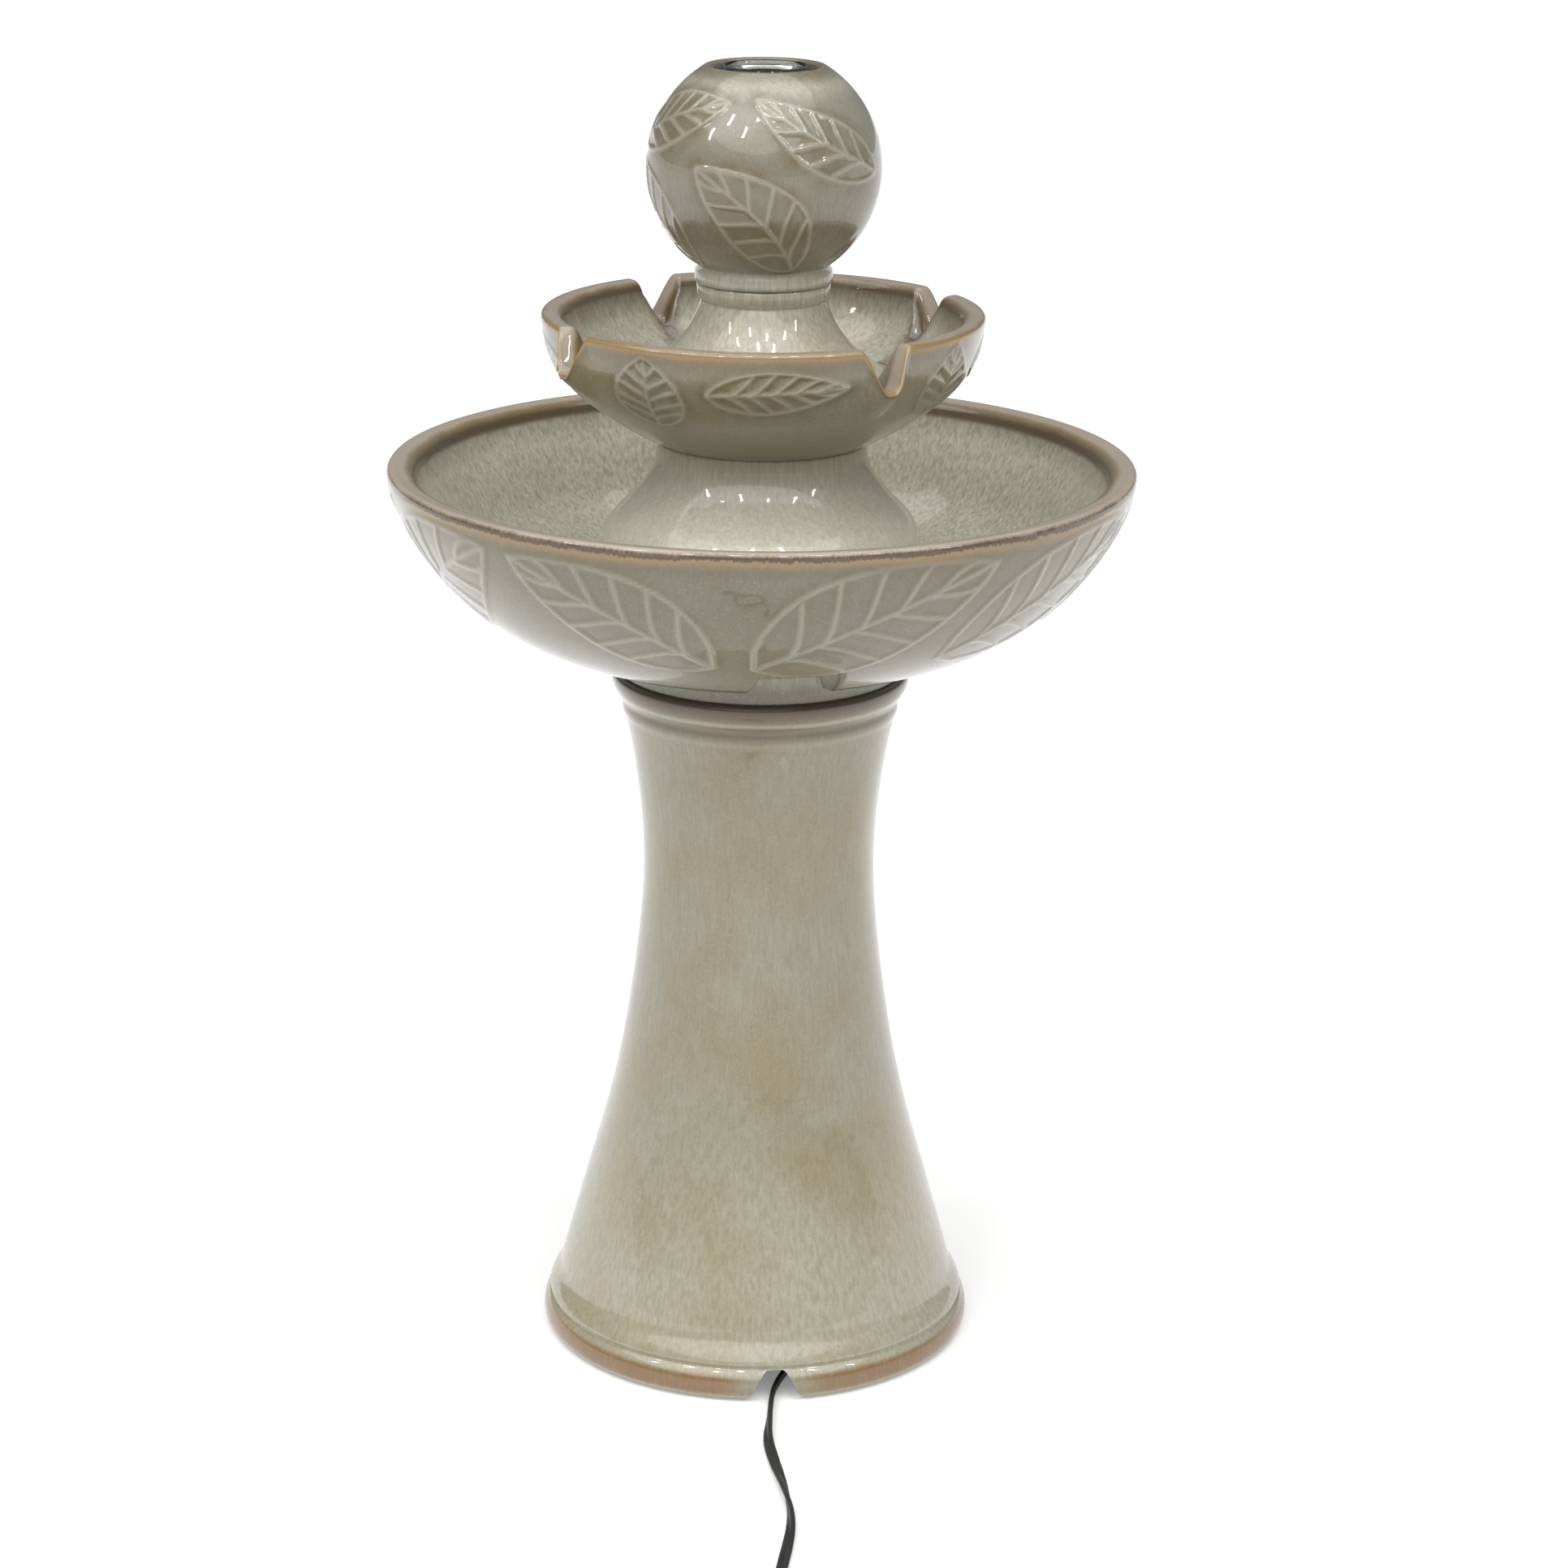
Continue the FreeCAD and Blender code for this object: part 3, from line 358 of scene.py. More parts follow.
def skin(name, rings, closed, fields=None):
    """A surface over rings of points; closed joins the last ring to the first."""
    starts = np.cumsum([0] + [len(r) for r in rings])
    faces = []
    for i in range(len(rings) - (0 if closed else 1)):
        j = (i + 1) % len(rings)
        faces += ring_faces(int(starts[i]), len(rings[i]), int(starts[j]), len(rings[j]))
    return arrays_mesh(name, np.concatenate(rings), faces, fields)


def smooth_line(points, step):
    """Points about a step apart on a natural cubic curve through the given ones."""
    points = np.array(points, float)
    lengths = np.linalg.norm(np.diff(points, axis=0), axis=1)
    at = np.concatenate([[0], np.cumsum(lengths)])
    n = len(points)
    system, right = np.eye(n), np.zeros((n, points.shape[1]))
    for i in range(1, n - 1):
        system[i, i - 1:i + 2] = lengths[i - 1], 2 * (lengths[i - 1] + lengths[i]), lengths[i]
        ahead = (points[i + 1] - points[i]) / lengths[i]
        behind = (points[i] - points[i - 1]) / lengths[i - 1]
        right[i] = 6 * (ahead - behind)
    bend = np.linalg.solve(system, right)
    wanted = np.linspace(0, at[-1], max(2, round(at[-1] / step) + 1))
    i = np.clip(np.searchsorted(at, wanted) - 1, 0, n - 2)
    b = ((wanted - at[i]) / lengths[i])[:, None]
    a = 1 - b
    return a * points[i] + b * points[i + 1] + (
        ((a**3 - a) * bend[i] + (b**3 - b) * bend[i + 1]) * lengths[i][:, None] ** 2 / 6
    )


def profile(*spans):
    """One profile from spans of (points, step), each starting where the last ended, and where each span ends.

    A step of 0 keeps the points as they are.
    """
    parts = []
    for points, step in spans:
        line = np.array(points, float) if step == 0 else smooth_line(points, step)
        if parts:
            line = line[1:] if np.allclose(parts[-1][-1], line[0]) else line
        parts.append(line)
    return np.concatenate(parts), np.cumsum([len(p) for p in parts])


def smooth_step(low, high, value):
    t = np.clip((value - low) / (high - low), 0, 1)
    return t * t * (3 - 2 * t)


def rows_in(points, first, last):
    """Which points of a profile are from first up to last, as a column."""
    row = np.arange(len(points))[:, None]
    return (row >= first) & (row < last)


def azimuths(count, finer_at=(), half_width=8, times=3):
    """Azimuths round the axis, in radians, closer together near some azimuths in degrees."""
    fine = np.linspace(-180, 180, 3601)
    density = np.ones_like(fine)
    for centre in finer_at:
        away = np.abs((fine - centre + 180) % 360 - 180)
        density += (times - 1) * (1 - smooth_step(half_width, 1.5 * half_width, away))
    total = np.concatenate([[0], np.cumsum((density[1:] + density[:-1]) / 2)])
    return np.radians(np.interp(np.arange(count) / count * total[-1], total, fine))


def turned_grid(radius, height, azimuth):
    """Points of a grid of radii and heights, a row for each profile point, a column for each azimuth."""
    return np.stack([radius * np.sin(azimuth), -radius * np.cos(azimuth), height], -1)


def grid_normals(grid):
    """Unit normals of such a grid, outwards where its profile goes up."""
    along = np.gradient(grid, axis=0)
    around = np.roll(grid, -1, 1) - np.roll(grid, 1, 1)
    normal = np.cross(around, along)
    return normal / np.maximum(np.linalg.norm(normal, axis=-1, keepdims=True), 1e-9)


# ---------------------------------------------------------------- meshes: leaf relief


def leaf_edge(half_width, along):
    """How far a leaf's outline is from its midrib."""
    return half_width * np.sin(np.pi * along**0.8) ** 0.85


def leaf_lines(half_width, bend, veins=5):
    """Lines of one leaf, in fractions along the midrib and millimetres beside it: outline, midrib, veins."""
    x = np.linspace(0, 1, 15)
    middle = bend * np.sin(np.pi * x)
    side = leaf_edge(half_width, x)
    lines = [(x, middle + side), (x, middle - side), (x, middle)]
    for k in range(veins):
        for sign in (-1, 1):
            start = 0.14 + 0.74 * (k + 0.25 * (sign > 0)) / veins
            out = np.linspace(0, 1, 5)
            along = np.clip(start + 0.17 * out**0.8, 0, 0.98)
            edge = leaf_edge(half_width, along)
            lines.append((along, bend * np.sin(np.pi * along) + sign * edge * out * 0.93))
    return lines


class Wall:
    """A turned wall on which lines can be laid out by azimuth and height."""

    def __init__(self, points):
        self.points = np.array(points, float)
        steps = np.linalg.norm(np.diff(self.points, axis=0), axis=1)
        self.along = np.concatenate([[0], np.cumsum(steps)])

    def at_height(self, height):
        return np.interp(height, self.points[:, 1], self.along)

    def lay(self, azimuth, along):
        radius = np.interp(along, self.along, self.points[:, 0])
        height = np.interp(along, self.along, self.points[:, 1])
        return turned_grid(radius, height, azimuth)

    def leaf(self, stem, tip, half_width, bend):
        """A leaf's lines as points in space, from its stem's and tip's (azimuth in degrees, height)."""
        start, end = self.at_height(stem[1]), self.at_height(tip[1])
        radius = np.interp((start + end) / 2, self.along, self.points[:, 0])
        reach = np.array([math.radians(tip[0] - stem[0]) * radius, end - start])
        across = np.array([-reach[1], reach[0]]) / np.linalg.norm(reach)
        lines = []
        for x, y in leaf_lines(half_width, bend):
            place = x[:, None] * reach + y[:, None] * across
            lines.append(self.lay(math.radians(stem[0]) + place[:, 0] / radius, start + place[:, 1]))
        return lines


def relief(grid, leaves, crest_width=1.0, pool_width=5.5):
    """How much each grid point is on a crest of the leaves' lines, and how much at its foot."""
    ridge, pool = np.zeros(grid.shape[:2]), np.zeros(grid.shape[:2])
    for lines in leaves:
        starts = np.concatenate([line[:-1] for line in lines])
        ends = np.concatenate([line[1:] for line in lines])
        centre = starts.mean(0)
        reach = np.linalg.norm(starts - centre, axis=1).max() + 4 * pool_width
        near = np.linalg.norm(grid - centre, axis=-1) < reach
        points = grid[near]
        closest = np.full(len(points), 1e9)
        for a, b in zip(starts, ends):
            way = b - a
            t = np.clip((points - a) @ way / (way @ way), 0, 1)
            closest = np.minimum(closest, np.linalg.norm(points - a - t[:, None] * way, axis=1))
        crest = np.exp(-((closest / crest_width) ** 2))
        foot = np.exp(-((closest / pool_width) ** 1.5)) * (1 - crest)
        ridge[near] = np.maximum(ridge[near], crest)
        pool[near] = np.maximum(pool[near], foot)
    return ridge, pool


FAR_OUTSIDE = 500


def ceramic(name, grid, fine_rows, numbers, finish):
    """Makes a ceramic piece from its grid, coarser outside fine_rows, and gives it its finish and body."""
    rings, kept = [], {key: [] for key in numbers}
    for i, row in enumerate(grid):
        step = 1 if fine_rows[0] <= i <= fine_rows[1] else 2
        if np.ptp(row[:, 0]) < 1e-6:
            step = len(row)
        rings.append(row[::step])
        for key, values in numbers.items():
            kept[key].append(values[i][::step])
    closed = len(rings[0]) > 1
    fields = {key: np.concatenate(values) for key, values in kept.items()}
    made = skin(name + "_shell", rings, closed, fields)
    return dress(made, finish, "glazed_stoneware", BODY_OF[name], name)


def dress(piece, finish, slot_name, body, *nodes):
    """Gives a new piece its material and its body, and hides the CAD nodes it stands for."""
    piece.data.materials.clear()
    piece.data.materials.append(finish)
    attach(piece, body)
    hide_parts(*nodes)
    return piece


def blank(grid):
    """A grid's stored numbers before a piece sets its own: far outside a rim, loose, the rest nought."""
    numbers = {key: np.zeros(grid.shape[:2]) for key in ("rim", "loose", "ridge", "pool", "dark_glaze_and_shade", "pale")}
    numbers["rim"] += FAR_OUTSIDE
    numbers["loose"] += 1
    return numbers


def along_profile(points, corner):
    """Millimetres along a profile from its point nearest to corner, growing backwards towards its start."""
    at = np.concatenate([[0], np.cumsum(np.linalg.norm(np.diff(points, axis=0), axis=1))])
    return at[np.argmin(np.linalg.norm(points - np.array(corner), axis=1))] - at


def spread(points, azimuth):
    """Radii and heights of a profile, a row for each point and a column for each azimuth."""
    points = np.array(points, float)
    radius = np.repeat(points[:, :1], len(azimuth), 1)
    height = np.repeat(points[:, 1:], len(azimuth), 1)
    return radius, height


def nearest(azimuth, centres, radius):
    """Millimetres round a circle from each azimuth to the nearest of centres, which are in degrees."""
    away = [np.abs((np.degrees(azimuth) - c + 180) % 360 - 180) for c in centres]
    return np.radians(np.minimum(np.min(away, axis=0), 90)) * radius


def raised(radius, height, rows, base, top, lift):
    """Raises the lower edge of a wall by lift, as a cut there would, and keeps the wall's shape."""
    points = sorted((height[i, 0], radius[i, 0]) for i in rows)
    heights, radii = zip(*points)
    for i in rows:
        if height[i, 0] < top:
            new = base + lift + (height[i, 0] - base) * (top - base - lift) / (top - base)
            height[i] = new
            radius[i] = np.interp(new, heights, radii)


def emboss(grid, leaves, where, rise, crest_width=1.0):
    """Leaves raised on a grid where asked; gives the new grid, the crests and their feet."""
    ridge, pool = relief(grid, leaves, crest_width)
    embossed = grid + grid_normals(grid) * (rise * ridge)[..., None]
    return np.where(where[..., None], embossed, grid), ridge * where, pool * where


# ---------------------------------------------------------------- pedestal

FOOT_RADIUS = 119
NOTCH_AZIMUTH = 6
NOTCH_HEIGHT = 17
# The notch's height falls away between these distances from its middle, and bends the wall up to its reach.
NOTCH_SIDE = (4, 17)
NOTCH_REACH = 42
MARK_AZIMUTH = 10.3
MARK_HEIGHT = 350
MARK_WALL_RADIUS = 71
MARK_HALF_WIDTH = 3
MARK_HALF_HEIGHT = 4.2
MARK_RISE = 1.1
FOOT_BROWN = (0.20, 0.115, 0.045)


def pedestal_profile():
    """Foot, its bead, the waist, the lip, the seat for the basin, and the inside."""
    return profile(
        ([(113.5, 0), (117.2, 1), (119.4, 4.5), (119.6, 9), (118.4, 13.5), (116.2, 16.6)], 1.3),
        ([(116.2, 16.6), (115.2, 17.6), (115.6, 18.7), (116.3, 19.8), (116, 21.5)], 0.8),
        ([(116, 21.5), (113.6, 26), (110.9, 30), (109.6, 33.5), (109, 36.4), (108.1, 40), (101.1, 65.5),
          (93.9, 91.1), (86.7, 116.6), (80.2, 142.2), (75, 167.7), (70.9, 193.2), (67.4, 218.8),
          (64.8, 244.3), (63.5, 269.8), (64.2, 295.4), (67, 320.9), (71.2, 346.5), (73.6, 356.5)], 2.4),
        ([(73.6, 356.5), (74.9, 360), (75, 363), (74.9, 365.5), (75.8, 367), (78, 370), (79.8, 373.5),
          (80.7, 377), (80.6, 380), (79.4, 381.8)], 1),
        ([(79.4, 381.8), (78.5, 382), (78.5, 378.1), (66, 378), (65, 360)], 0),
        ([(65, 360), (60, 320), (55.8, 270), (58, 230), (63, 190), (72, 145), (79, 120), (101, 40),
          (104.8, 12), (104.8, 0)], 6),
    )


def lozenge(azimuth, height):
    """The raised mark: 1 on it and 0 off it."""
    across = nearest(azimuth, (MARK_AZIMUTH,), MARK_WALL_RADIUS)
    away = across / MARK_HALF_WIDTH + np.abs(height - MARK_HEIGHT) / MARK_HALF_HEIGHT
    return 1 - smooth_step(0.75, 1.05, away)


def make_pedestal():
    points, ends = pedestal_profile()
    azimuth = azimuths(440, (NOTCH_AZIMUTH,), 10, 3.5)
    radius, height = spread(points, azimuth)
    aside = nearest(azimuth, (NOTCH_AZIMUTH,), FOOT_RADIUS)
    lift = NOTCH_HEIGHT * (1 - smooth_step(*NOTCH_SIDE, aside))
    for rows in (range(ends[2]), range(ends[4], len(points))):
        raised(radius, height, rows, 0, NOTCH_REACH, lift)
    grid = turned_grid(radius, height, azimuth)
    mark = lozenge(azimuth, height)
    mark[ends[3]:] = 0
    grid += grid_normals(grid) * (MARK_RISE * mark)[..., None]
    numbers = blank(grid)
    numbers["ridge"] = mark
    numbers["rim"][:] = along_profile(points, (80.6, 380))[:, None]
    numbers["loose"][:] = 0.3
    band = smooth_step(2, 5, height) * (1 - smooth_step(12, 15, height)) * rows_in(points, 0, ends[0])
    numbers["dark_glaze_and_shade"] = 1.4 * band * smooth_step(10, 34, aside)
    numbers["pale"] = 0.3 * (1 - smooth_step(50, 170, height)) * (1 - band)
    finish = glaze("pedestal_glaze", rim_stops=LIP_RIM, dark_glaze_and_shade=FOOT_BROWN, dark_glaze_and_shade_amount=0.85)
    ceramic("pedestal", grid, (0, ends[3]), numbers, finish)


# ---------------------------------------------------------------- basin

FOOT_RING_RADIUS = 79
RECESS_AZIMUTH = 8.6
RECESS_HALF_WIDTH = 23
RECESS_EDGE = 4
RECESS_TOP = 398
RECESS_SLOPE = 0.3


def basin_profile():
    """Foot ring, underside and wall, rim, inside, and the floor with the seat under it."""
    return profile(
        ([(67, 378), (77.8, 378), (78, 383), (79, 389.3), (79.8, 390.4), (81, 391)], 0),
        ([(81, 391), (104, 396), (120, 401.8), (133.6, 408.2), (152.7, 420.5), (166.6, 432.8), (177.1, 445),
          (185.7, 457.2), (192.5, 469.5), (197.7, 481.8), (199.5, 487.6)], 1.7),
        ([(199.5, 487.6), (199.95, 491), (199.6, 493.8), (198.2, 494.9), (194, 494.7), (189, 493.8),
          (185.8, 491.5), (184.4, 488)], 1),
        ([(184.4, 488), (179, 477), (170, 460), (160, 444), (146, 432), (128, 420.5), (106, 413)], 2.4),
        ([(106, 413), (60, 413), (0, 413), (0, 399), (62, 399), (67, 394)], 0),
    )


def basin_leaves(wall):
    """Leaves that lean one way round the wall, and one at the front left that leans the other way."""
    stems = [-0.8 + 36 * k for k in range(7)] + [-82.3, -118]
    leaves = [wall.leaf((s, 424), (s + 37.8, 482.5), 36, 4) for s in stems]
    return leaves + [wall.leaf((-8, 425), (-39.5, 481), 31, -4)]


def recess_depth(azimuth, radius, height):
    """How far the hollow beside the foot ring raises each point."""
    aside = np.degrees(azimuth) - RECESS_AZIMUTH
    sideways = np.abs(np.sin(np.radians(aside))) * radius
    inside = 1 - smooth_step(RECESS_HALF_WIDTH - RECESS_EDGE, RECESS_HALF_WIDTH, sideways)
    inside = inside * (np.abs(aside) < 60) * (radius > FOOT_RING_RADIUS + 0.5)
    ceiling = RECESS_TOP + RECESS_SLOPE * (radius - FOOT_RING_RADIUS)
    return np.maximum(ceiling - height, 0) * inside


def make_basin():
    points, ends = basin_profile()
    azimuth = azimuths(800, (RECESS_AZIMUTH,), 13, 1.6)
    radius, height = spread(points, azimuth)
    depth = recess_depth(azimuth, radius, height)
    depth[ends[1]:] = 0
    clear_of = (depth < 0.5) & rows_in(points, 0, ends[1])
    leaves = basin_leaves(Wall(points[ends[0]:ends[1]]))
    grid, ridge, pool = emboss(turned_grid(radius, height, azimuth), leaves, clear_of, 0.9, 1.35)
    grid[..., 2] += depth
    numbers = blank(grid)
    numbers["ridge"], numbers["pool"] = ridge, pool
    numbers["rim"][:] = along_profile(points, (199.95, 491))[:, None]
    in_recess = depth > 3
    # The darkening in the hollow beside the foot ring is painted shade.
    numbers["dark_glaze_and_shade"] = 0.5 * in_recess
    numbers["pale"][ends[2]:] = 0.95
    numbers["pale"] += 0.4 * in_recess
    finish = glaze("basin_glaze", rim_stops=BASIN_RIM, tone=0.56)
    ceramic("basin", grid, (ends[0], ends[2]), numbers, finish)


# ---------------------------------------------------------------- pump cover

QUARTERS = (0, 90, 180, 270)
BASIN_FLOOR = 413
COVER_FOOT_RADIUS = 90
ARCH_AZIMUTHS = [45 + q for q in QUARTERS]
ARCH_HEIGHT = 13
# An arch's height falls away between these distances from its middle, and bends the wall up to its reach.
ARCH_SIDE = (6, 13)
ARCH_REACH = 440
COVER_CREAM = (0.40, 0.39, 0.32)


def make_cover():
    points, ends = profile(
        ([(91, 413), (90.6, 420), (88.6, 438), (86, 450), (84.7, 458), (80.4, 466), (72.8, 474), (65.3, 482),
          (59.8, 490), (56.8, 498), (56.2, 508)], 1.6),
        ([(56.2, 508), (46, 508), (45.4, 513), (39.5, 513), (39.5, 501), (49.3, 501), (49.3, 494)], 0),
        ([(49.3, 494), (66.6, 469.5), (79, 450), (83, 432), (84, 413)], 4),
    )
    azimuth = azimuths(400, ARCH_AZIMUTHS, 10, 1.6)
    radius, height = spread(points, azimuth)
    lift = ARCH_HEIGHT * (1 - smooth_step(*ARCH_SIDE, nearest(azimuth, ARCH_AZIMUTHS, COVER_FOOT_RADIUS)))
    for rows in (range(ends[0]), range(ends[1], len(points))):
        raised(radius, height, rows, BASIN_FLOOR, ARCH_REACH, lift)
    grid = turned_grid(radius, height, azimuth)
    numbers = blank(grid)
    # The darkening at the cover's top, just under the bowl's seat, is painted shade.
    numbers["dark_glaze_and_shade"] = smooth_step(500, 508, height) * 0.15
    numbers["pale"][:] = 0.7
    finish = glaze("cover_glaze", warm=PALE_GREEN, cool=COVER_CREAM, dark_glaze_and_shade=TAN)
    ceramic("pump_cover", grid, (0, ends[0]), numbers, finish)


# ---------------------------------------------------------------- upper bowl

BOWL_RADIUS = 117.5
BOWL_RIM_WIDTH = 12.5
BOWL_RIM_TOP = 577
SPOUT_AZIMUTHS = [33 + q for q in QUARTERS]
SPOUT_WALL_RADIUS = 115
SPOUT_SIDE = (2, 15)
SPOUT_BASE = 535
SPOUT_DROP = 21.5
SPOUT_BULGE = 10


def bowl_profile():
    """Seat, wall, rim, inside with the column, and the column's top and bore."""
    return profile(
        ([(46.7, 508), (56.2, 508)], 0),
        ([(56.2, 508), (72.9, 516.6), (90, 528), (104, 540), (111.9, 552), (115.8, 565), (117.5, 573)], 1.1),
        ([(117.5, 573), (117.4, 575.4), (116.2, 576.7), (114, 577), (110.5, 576.8), (107.3, 575.4),
          (105, 572)], 1),
        ([(105, 572), (99, 556), (93, 549), (84, 542.5), (72, 541), (64, 545), (57.4, 550), (49.3, 557),
          (42.9, 564), (38.3, 571), (35.1, 578), (33, 584)], 1.6),
        ([(33, 584), (35.3, 586), (35.3, 592), (34.2, 593.2), (22, 593.2), (22, 574), (19, 574), (19, 562),
          (36, 541), (46.7, 528)], 0),
    )


def bowl_leaves(wall):
    """In each quarter, one leaf that stands and one that lies along the wall."""
    leaves = []
    for q in QUARTERS:
        leaves.append(wall.leaf((-32 + q, 533), (-31 + q, 572), 20, 0))
        leaves.append(wall.leaf((-14.5 + q, 553.5), (22.8 + q, 558), 12, 0))
    return leaves


def lower_wall(points, radius, height, rows, drop):
    """Lowers a wall by drop at its edge and less below, and keeps the wall's shape."""
    heights, radii = zip(*sorted((points[i, 1], points[i, 0]) for i in rows))
    for i in rows:
        height[i] = height[i] - drop * max(0, points[i, 1] - SPOUT_BASE) / (BOWL_RIM_TOP - SPOUT_BASE)
        radius[i] = np.interp(height[i], heights, radii)


def cut_spouts(points, ends, radius, height, drop):
    """Lowers the bowl's wall on both sides, and the rim with it."""
    inner_foot = ends[2] + np.argmin(points[ends[2]:ends[3], 1])
    for rows in (range(ends[0], ends[1]), range(ends[2], inner_foot)):
        lower_wall(points, radius, height, rows, drop)
    shift_out = radius[ends[1] - 1] - points[ends[1] - 1, 0]
    shift_in = radius[ends[2]] - points[ends[2], 0]
    for i in range(ends[1], ends[2]):
        part = np.clip((BOWL_RADIUS - points[i, 0]) / BOWL_RIM_WIDTH, 0, 1)
        radius[i] += shift_out * (1 - part) + shift_in * part
        height[i] -= drop


def make_bowl():
    points, ends = bowl_profile()
    azimuth = azimuths(640, SPOUT_AZIMUTHS, 8, 2)
    radius, height = spread(points, azimuth)
    cut_in = 1 - smooth_step(*SPOUT_SIDE, nearest(azimuth, SPOUT_AZIMUTHS, SPOUT_WALL_RADIUS))
    bulge = SPOUT_BULGE * cut_in * smooth_step(SPOUT_BASE, BOWL_RIM_TOP, height)
    cut_spouts(points, ends, radius, height, SPOUT_DROP * cut_in)
    radius = radius + bulge * rows_in(points, 0, ends[2])
    on_wall = rows_in(points, 0, ends[1])
    leaves = bowl_leaves(Wall(points[ends[0]:ends[1]]))
    grid, ridge, pool = emboss(turned_grid(radius, height, azimuth), leaves, on_wall, 0.8)
    numbers = blank(grid)
    numbers["ridge"], numbers["pool"] = ridge, pool
    numbers["rim"][:] = along_profile(points, (117.4, 575.4))[:, None]
    past_wall = rows_in(points, ends[1] + 1, len(points))
    numbers["dark_glaze_and_shade"] = cut_in * (past_wall & (points[:, 1:] > 540) & (points[:, :1] > 85))
    inside = rows_in(points, ends[2], len(points))
    numbers["pale"] = inside * (0.85 - 0.25 * (radius < 60))
    finish = glaze("bowl_glaze", rim_stops=BOWL_RIM, dark_glaze_and_shade=BROWN, tone=0.85)
    ceramic("upper_bowl", grid, (ends[0], ends[2]), numbers, finish)


# ---------------------------------------------------------------- globe and cup

GLOBE_CENTRE = 653
GLOBE_RADIUS = 61.5
GLOBE_INNER_RADIUS = 54.5


def globe_arc(radius, start, stop, count):
    """Points of the globe's profile from one elevation to another, in radians."""
    turns = np.linspace(start, stop, count)
    return [(radius * math.cos(t), GLOBE_CENTRE + radius * math.sin(t)) for t in turns]


def globe_profile():
    """Foot, outside, mouth with its seat for the cup, and the inside."""
    start, stop = (math.atan2(h - GLOBE_CENTRE, r) for r, h in ((35, 602.4), (31.6, 705.8)))
    return profile(
        ([(21.4, 586.2), (21.6, 593.2), (36.3, 593.2), (36.6, 595), (36.3, 599.6), (34.9, 602)], 0),
        (globe_arc(GLOBE_RADIUS, start, stop, 112), 0),
        ([(31, 705.9), (29.6, 705.6), (28.4, 704.6), (28.4, 702.8), (23, 702.8), (23, 701)], 0),
        (globe_arc(GLOBE_INNER_RADIUS, 1.07, -1.03, 20), 0),
        ([(28, 606), (17, 597.2), (17, 586.2)], 0),
    )


def globe_leaves(wall):
    """Four leaves round the lower half and three smaller ones above."""
    leaves = [wall.leaf((22 - 75 * k, 605), (-34.8 - 75 * k, 660), 21, -6) for k in range(4)]
    upper = (((68, 655), (-5, 694)), ((-92, 668), (-22, 692)), ((178, 662), (108, 692)))
    return leaves + [wall.leaf(stem, tip, 15, 3) for stem, tip in upper]


def make_globe():
    points, ends = globe_profile()
    azimuth = azimuths(430)
    radius, height = spread(points, azimuth)
    on_wall = rows_in(points, ends[0], ends[1])
    leaves = globe_leaves(Wall(points[ends[0]:ends[1]]))
    grid, ridge, pool = emboss(turned_grid(radius, height, azimuth), leaves, on_wall, 0.75)
    numbers = blank(grid)
    numbers["ridge"], numbers["pool"] = ridge, pool
    neck = smooth_step(699, 705, height)
    # The darkening over the globe's lower half is painted shade.
    painted_shade_below = smooth_step(603, 615, height) * (1 - smooth_step(628, 668, height))
    numbers["dark_glaze_and_shade"] = np.maximum(painted_shade_below, neck)
    shoulder = 0.35 * smooth_step(690, 700, height) * (1 - neck)
    numbers["pale"] = 0.6 * (1 - smooth_step(600, 606, height)) + shoulder
    finish = glaze("globe_glaze", warm=PALE_GREEN, cool=WARM_GREY, tone=0.62)
    ceramic("globe", grid, (ends[0], ends[1]), numbers, finish)


def make_cup():
    points, _ = profile(
        ([(6.2, 668), (18.4, 668), (20.4, 668.8), (21, 670.4), (21.6, 686), (22.4, 702.8), (27.2, 702.8),
          (27.2, 704.5), (23.8, 704.5), (22.4, 705.8), (21.2, 705.8)], 0),
        ([(21.2, 705.8), (20.6, 695), (20, 684), (19.4, 672), (17.4, 669.6), (6.2, 669.6)], 2),
    )
    azimuth = azimuths(160)
    grid = turned_grid(*spread(points, azimuth), azimuth)
    made = skin("water_cup_shell", list(grid), True)
    finish = clear("cup_plastic", (0.93, 0.95, 0.94), IOR=1.49)
    dress(made, finish, "clear_cup", "cup", "water_cup")


# ---------------------------------------------------------------- power cord

INNER_CORD_ROUTE = [
    (0, 46.5, 433), (0, 55, 433), (5, 65, 434.5), (14.5, 70.5, 438), (27, 71, 442), (38.5, 64.5, 445.5),
    (46, 53.5, 447), (47.8, 41, 445), (48, 29.5, 440.5), (47.2, 18.5, 433.5), (46, 8, 421.5), (46, 8, 391),
    (45.5, 6.5, 340), (46.2, 7.4, 268), (45.2, 6.2, 194), (46, 6.5, 123),
]
CORD_ROUTE = [
    (46, 6, 120), (45, -2, 86), (41, -20, 52), (34, -47, 22), (22, -74, 3), (10.5, -108, 3), (9.5, -140, 3),
    (8, -168, 3), (12.5, -194, 3), (18, -226, 3), (22, -260, 3), (17.5, -300, 3), (12.8, -338, 3),
    (12, -376, 3),
]
CORD_TAIL = [(-33, -428, 8), (-41, -428, 6.6), (-48, -428, 6.5), (-54, -428, 6.5)]
COIL_CENTRE = (-24, -392)
COIL_TURNS = 4.25
COIL_STEPS = 16
COIL_START = -376
# The coil's radius and height after so many turns: out, in, up, and out again.
COIL_RADIUS = ((0, 36.6), (0.85, 36.6), (1.1, 30.6), (3.1, 30.6), (3.35, 36.6), (4.25, 36.6))
COIL_HEIGHT = ((0, 3), (1.9, 3), (2.2, 9), (4.25, 9))
# Quarter turns of the cord by its Y: flat in front, on edge near the foot and towards the coil.
CORD_TURNS = ((COIL_START, 0), (-345, 1), (-292, 1), (-247, 2), (-200, 3), (-140, 4))
LOBE = 1.35
LOBE_OFFSET = 1.65
GROOVE = 0.8
# The height of the route's points where the cord lies on the floor.
LYING = 3


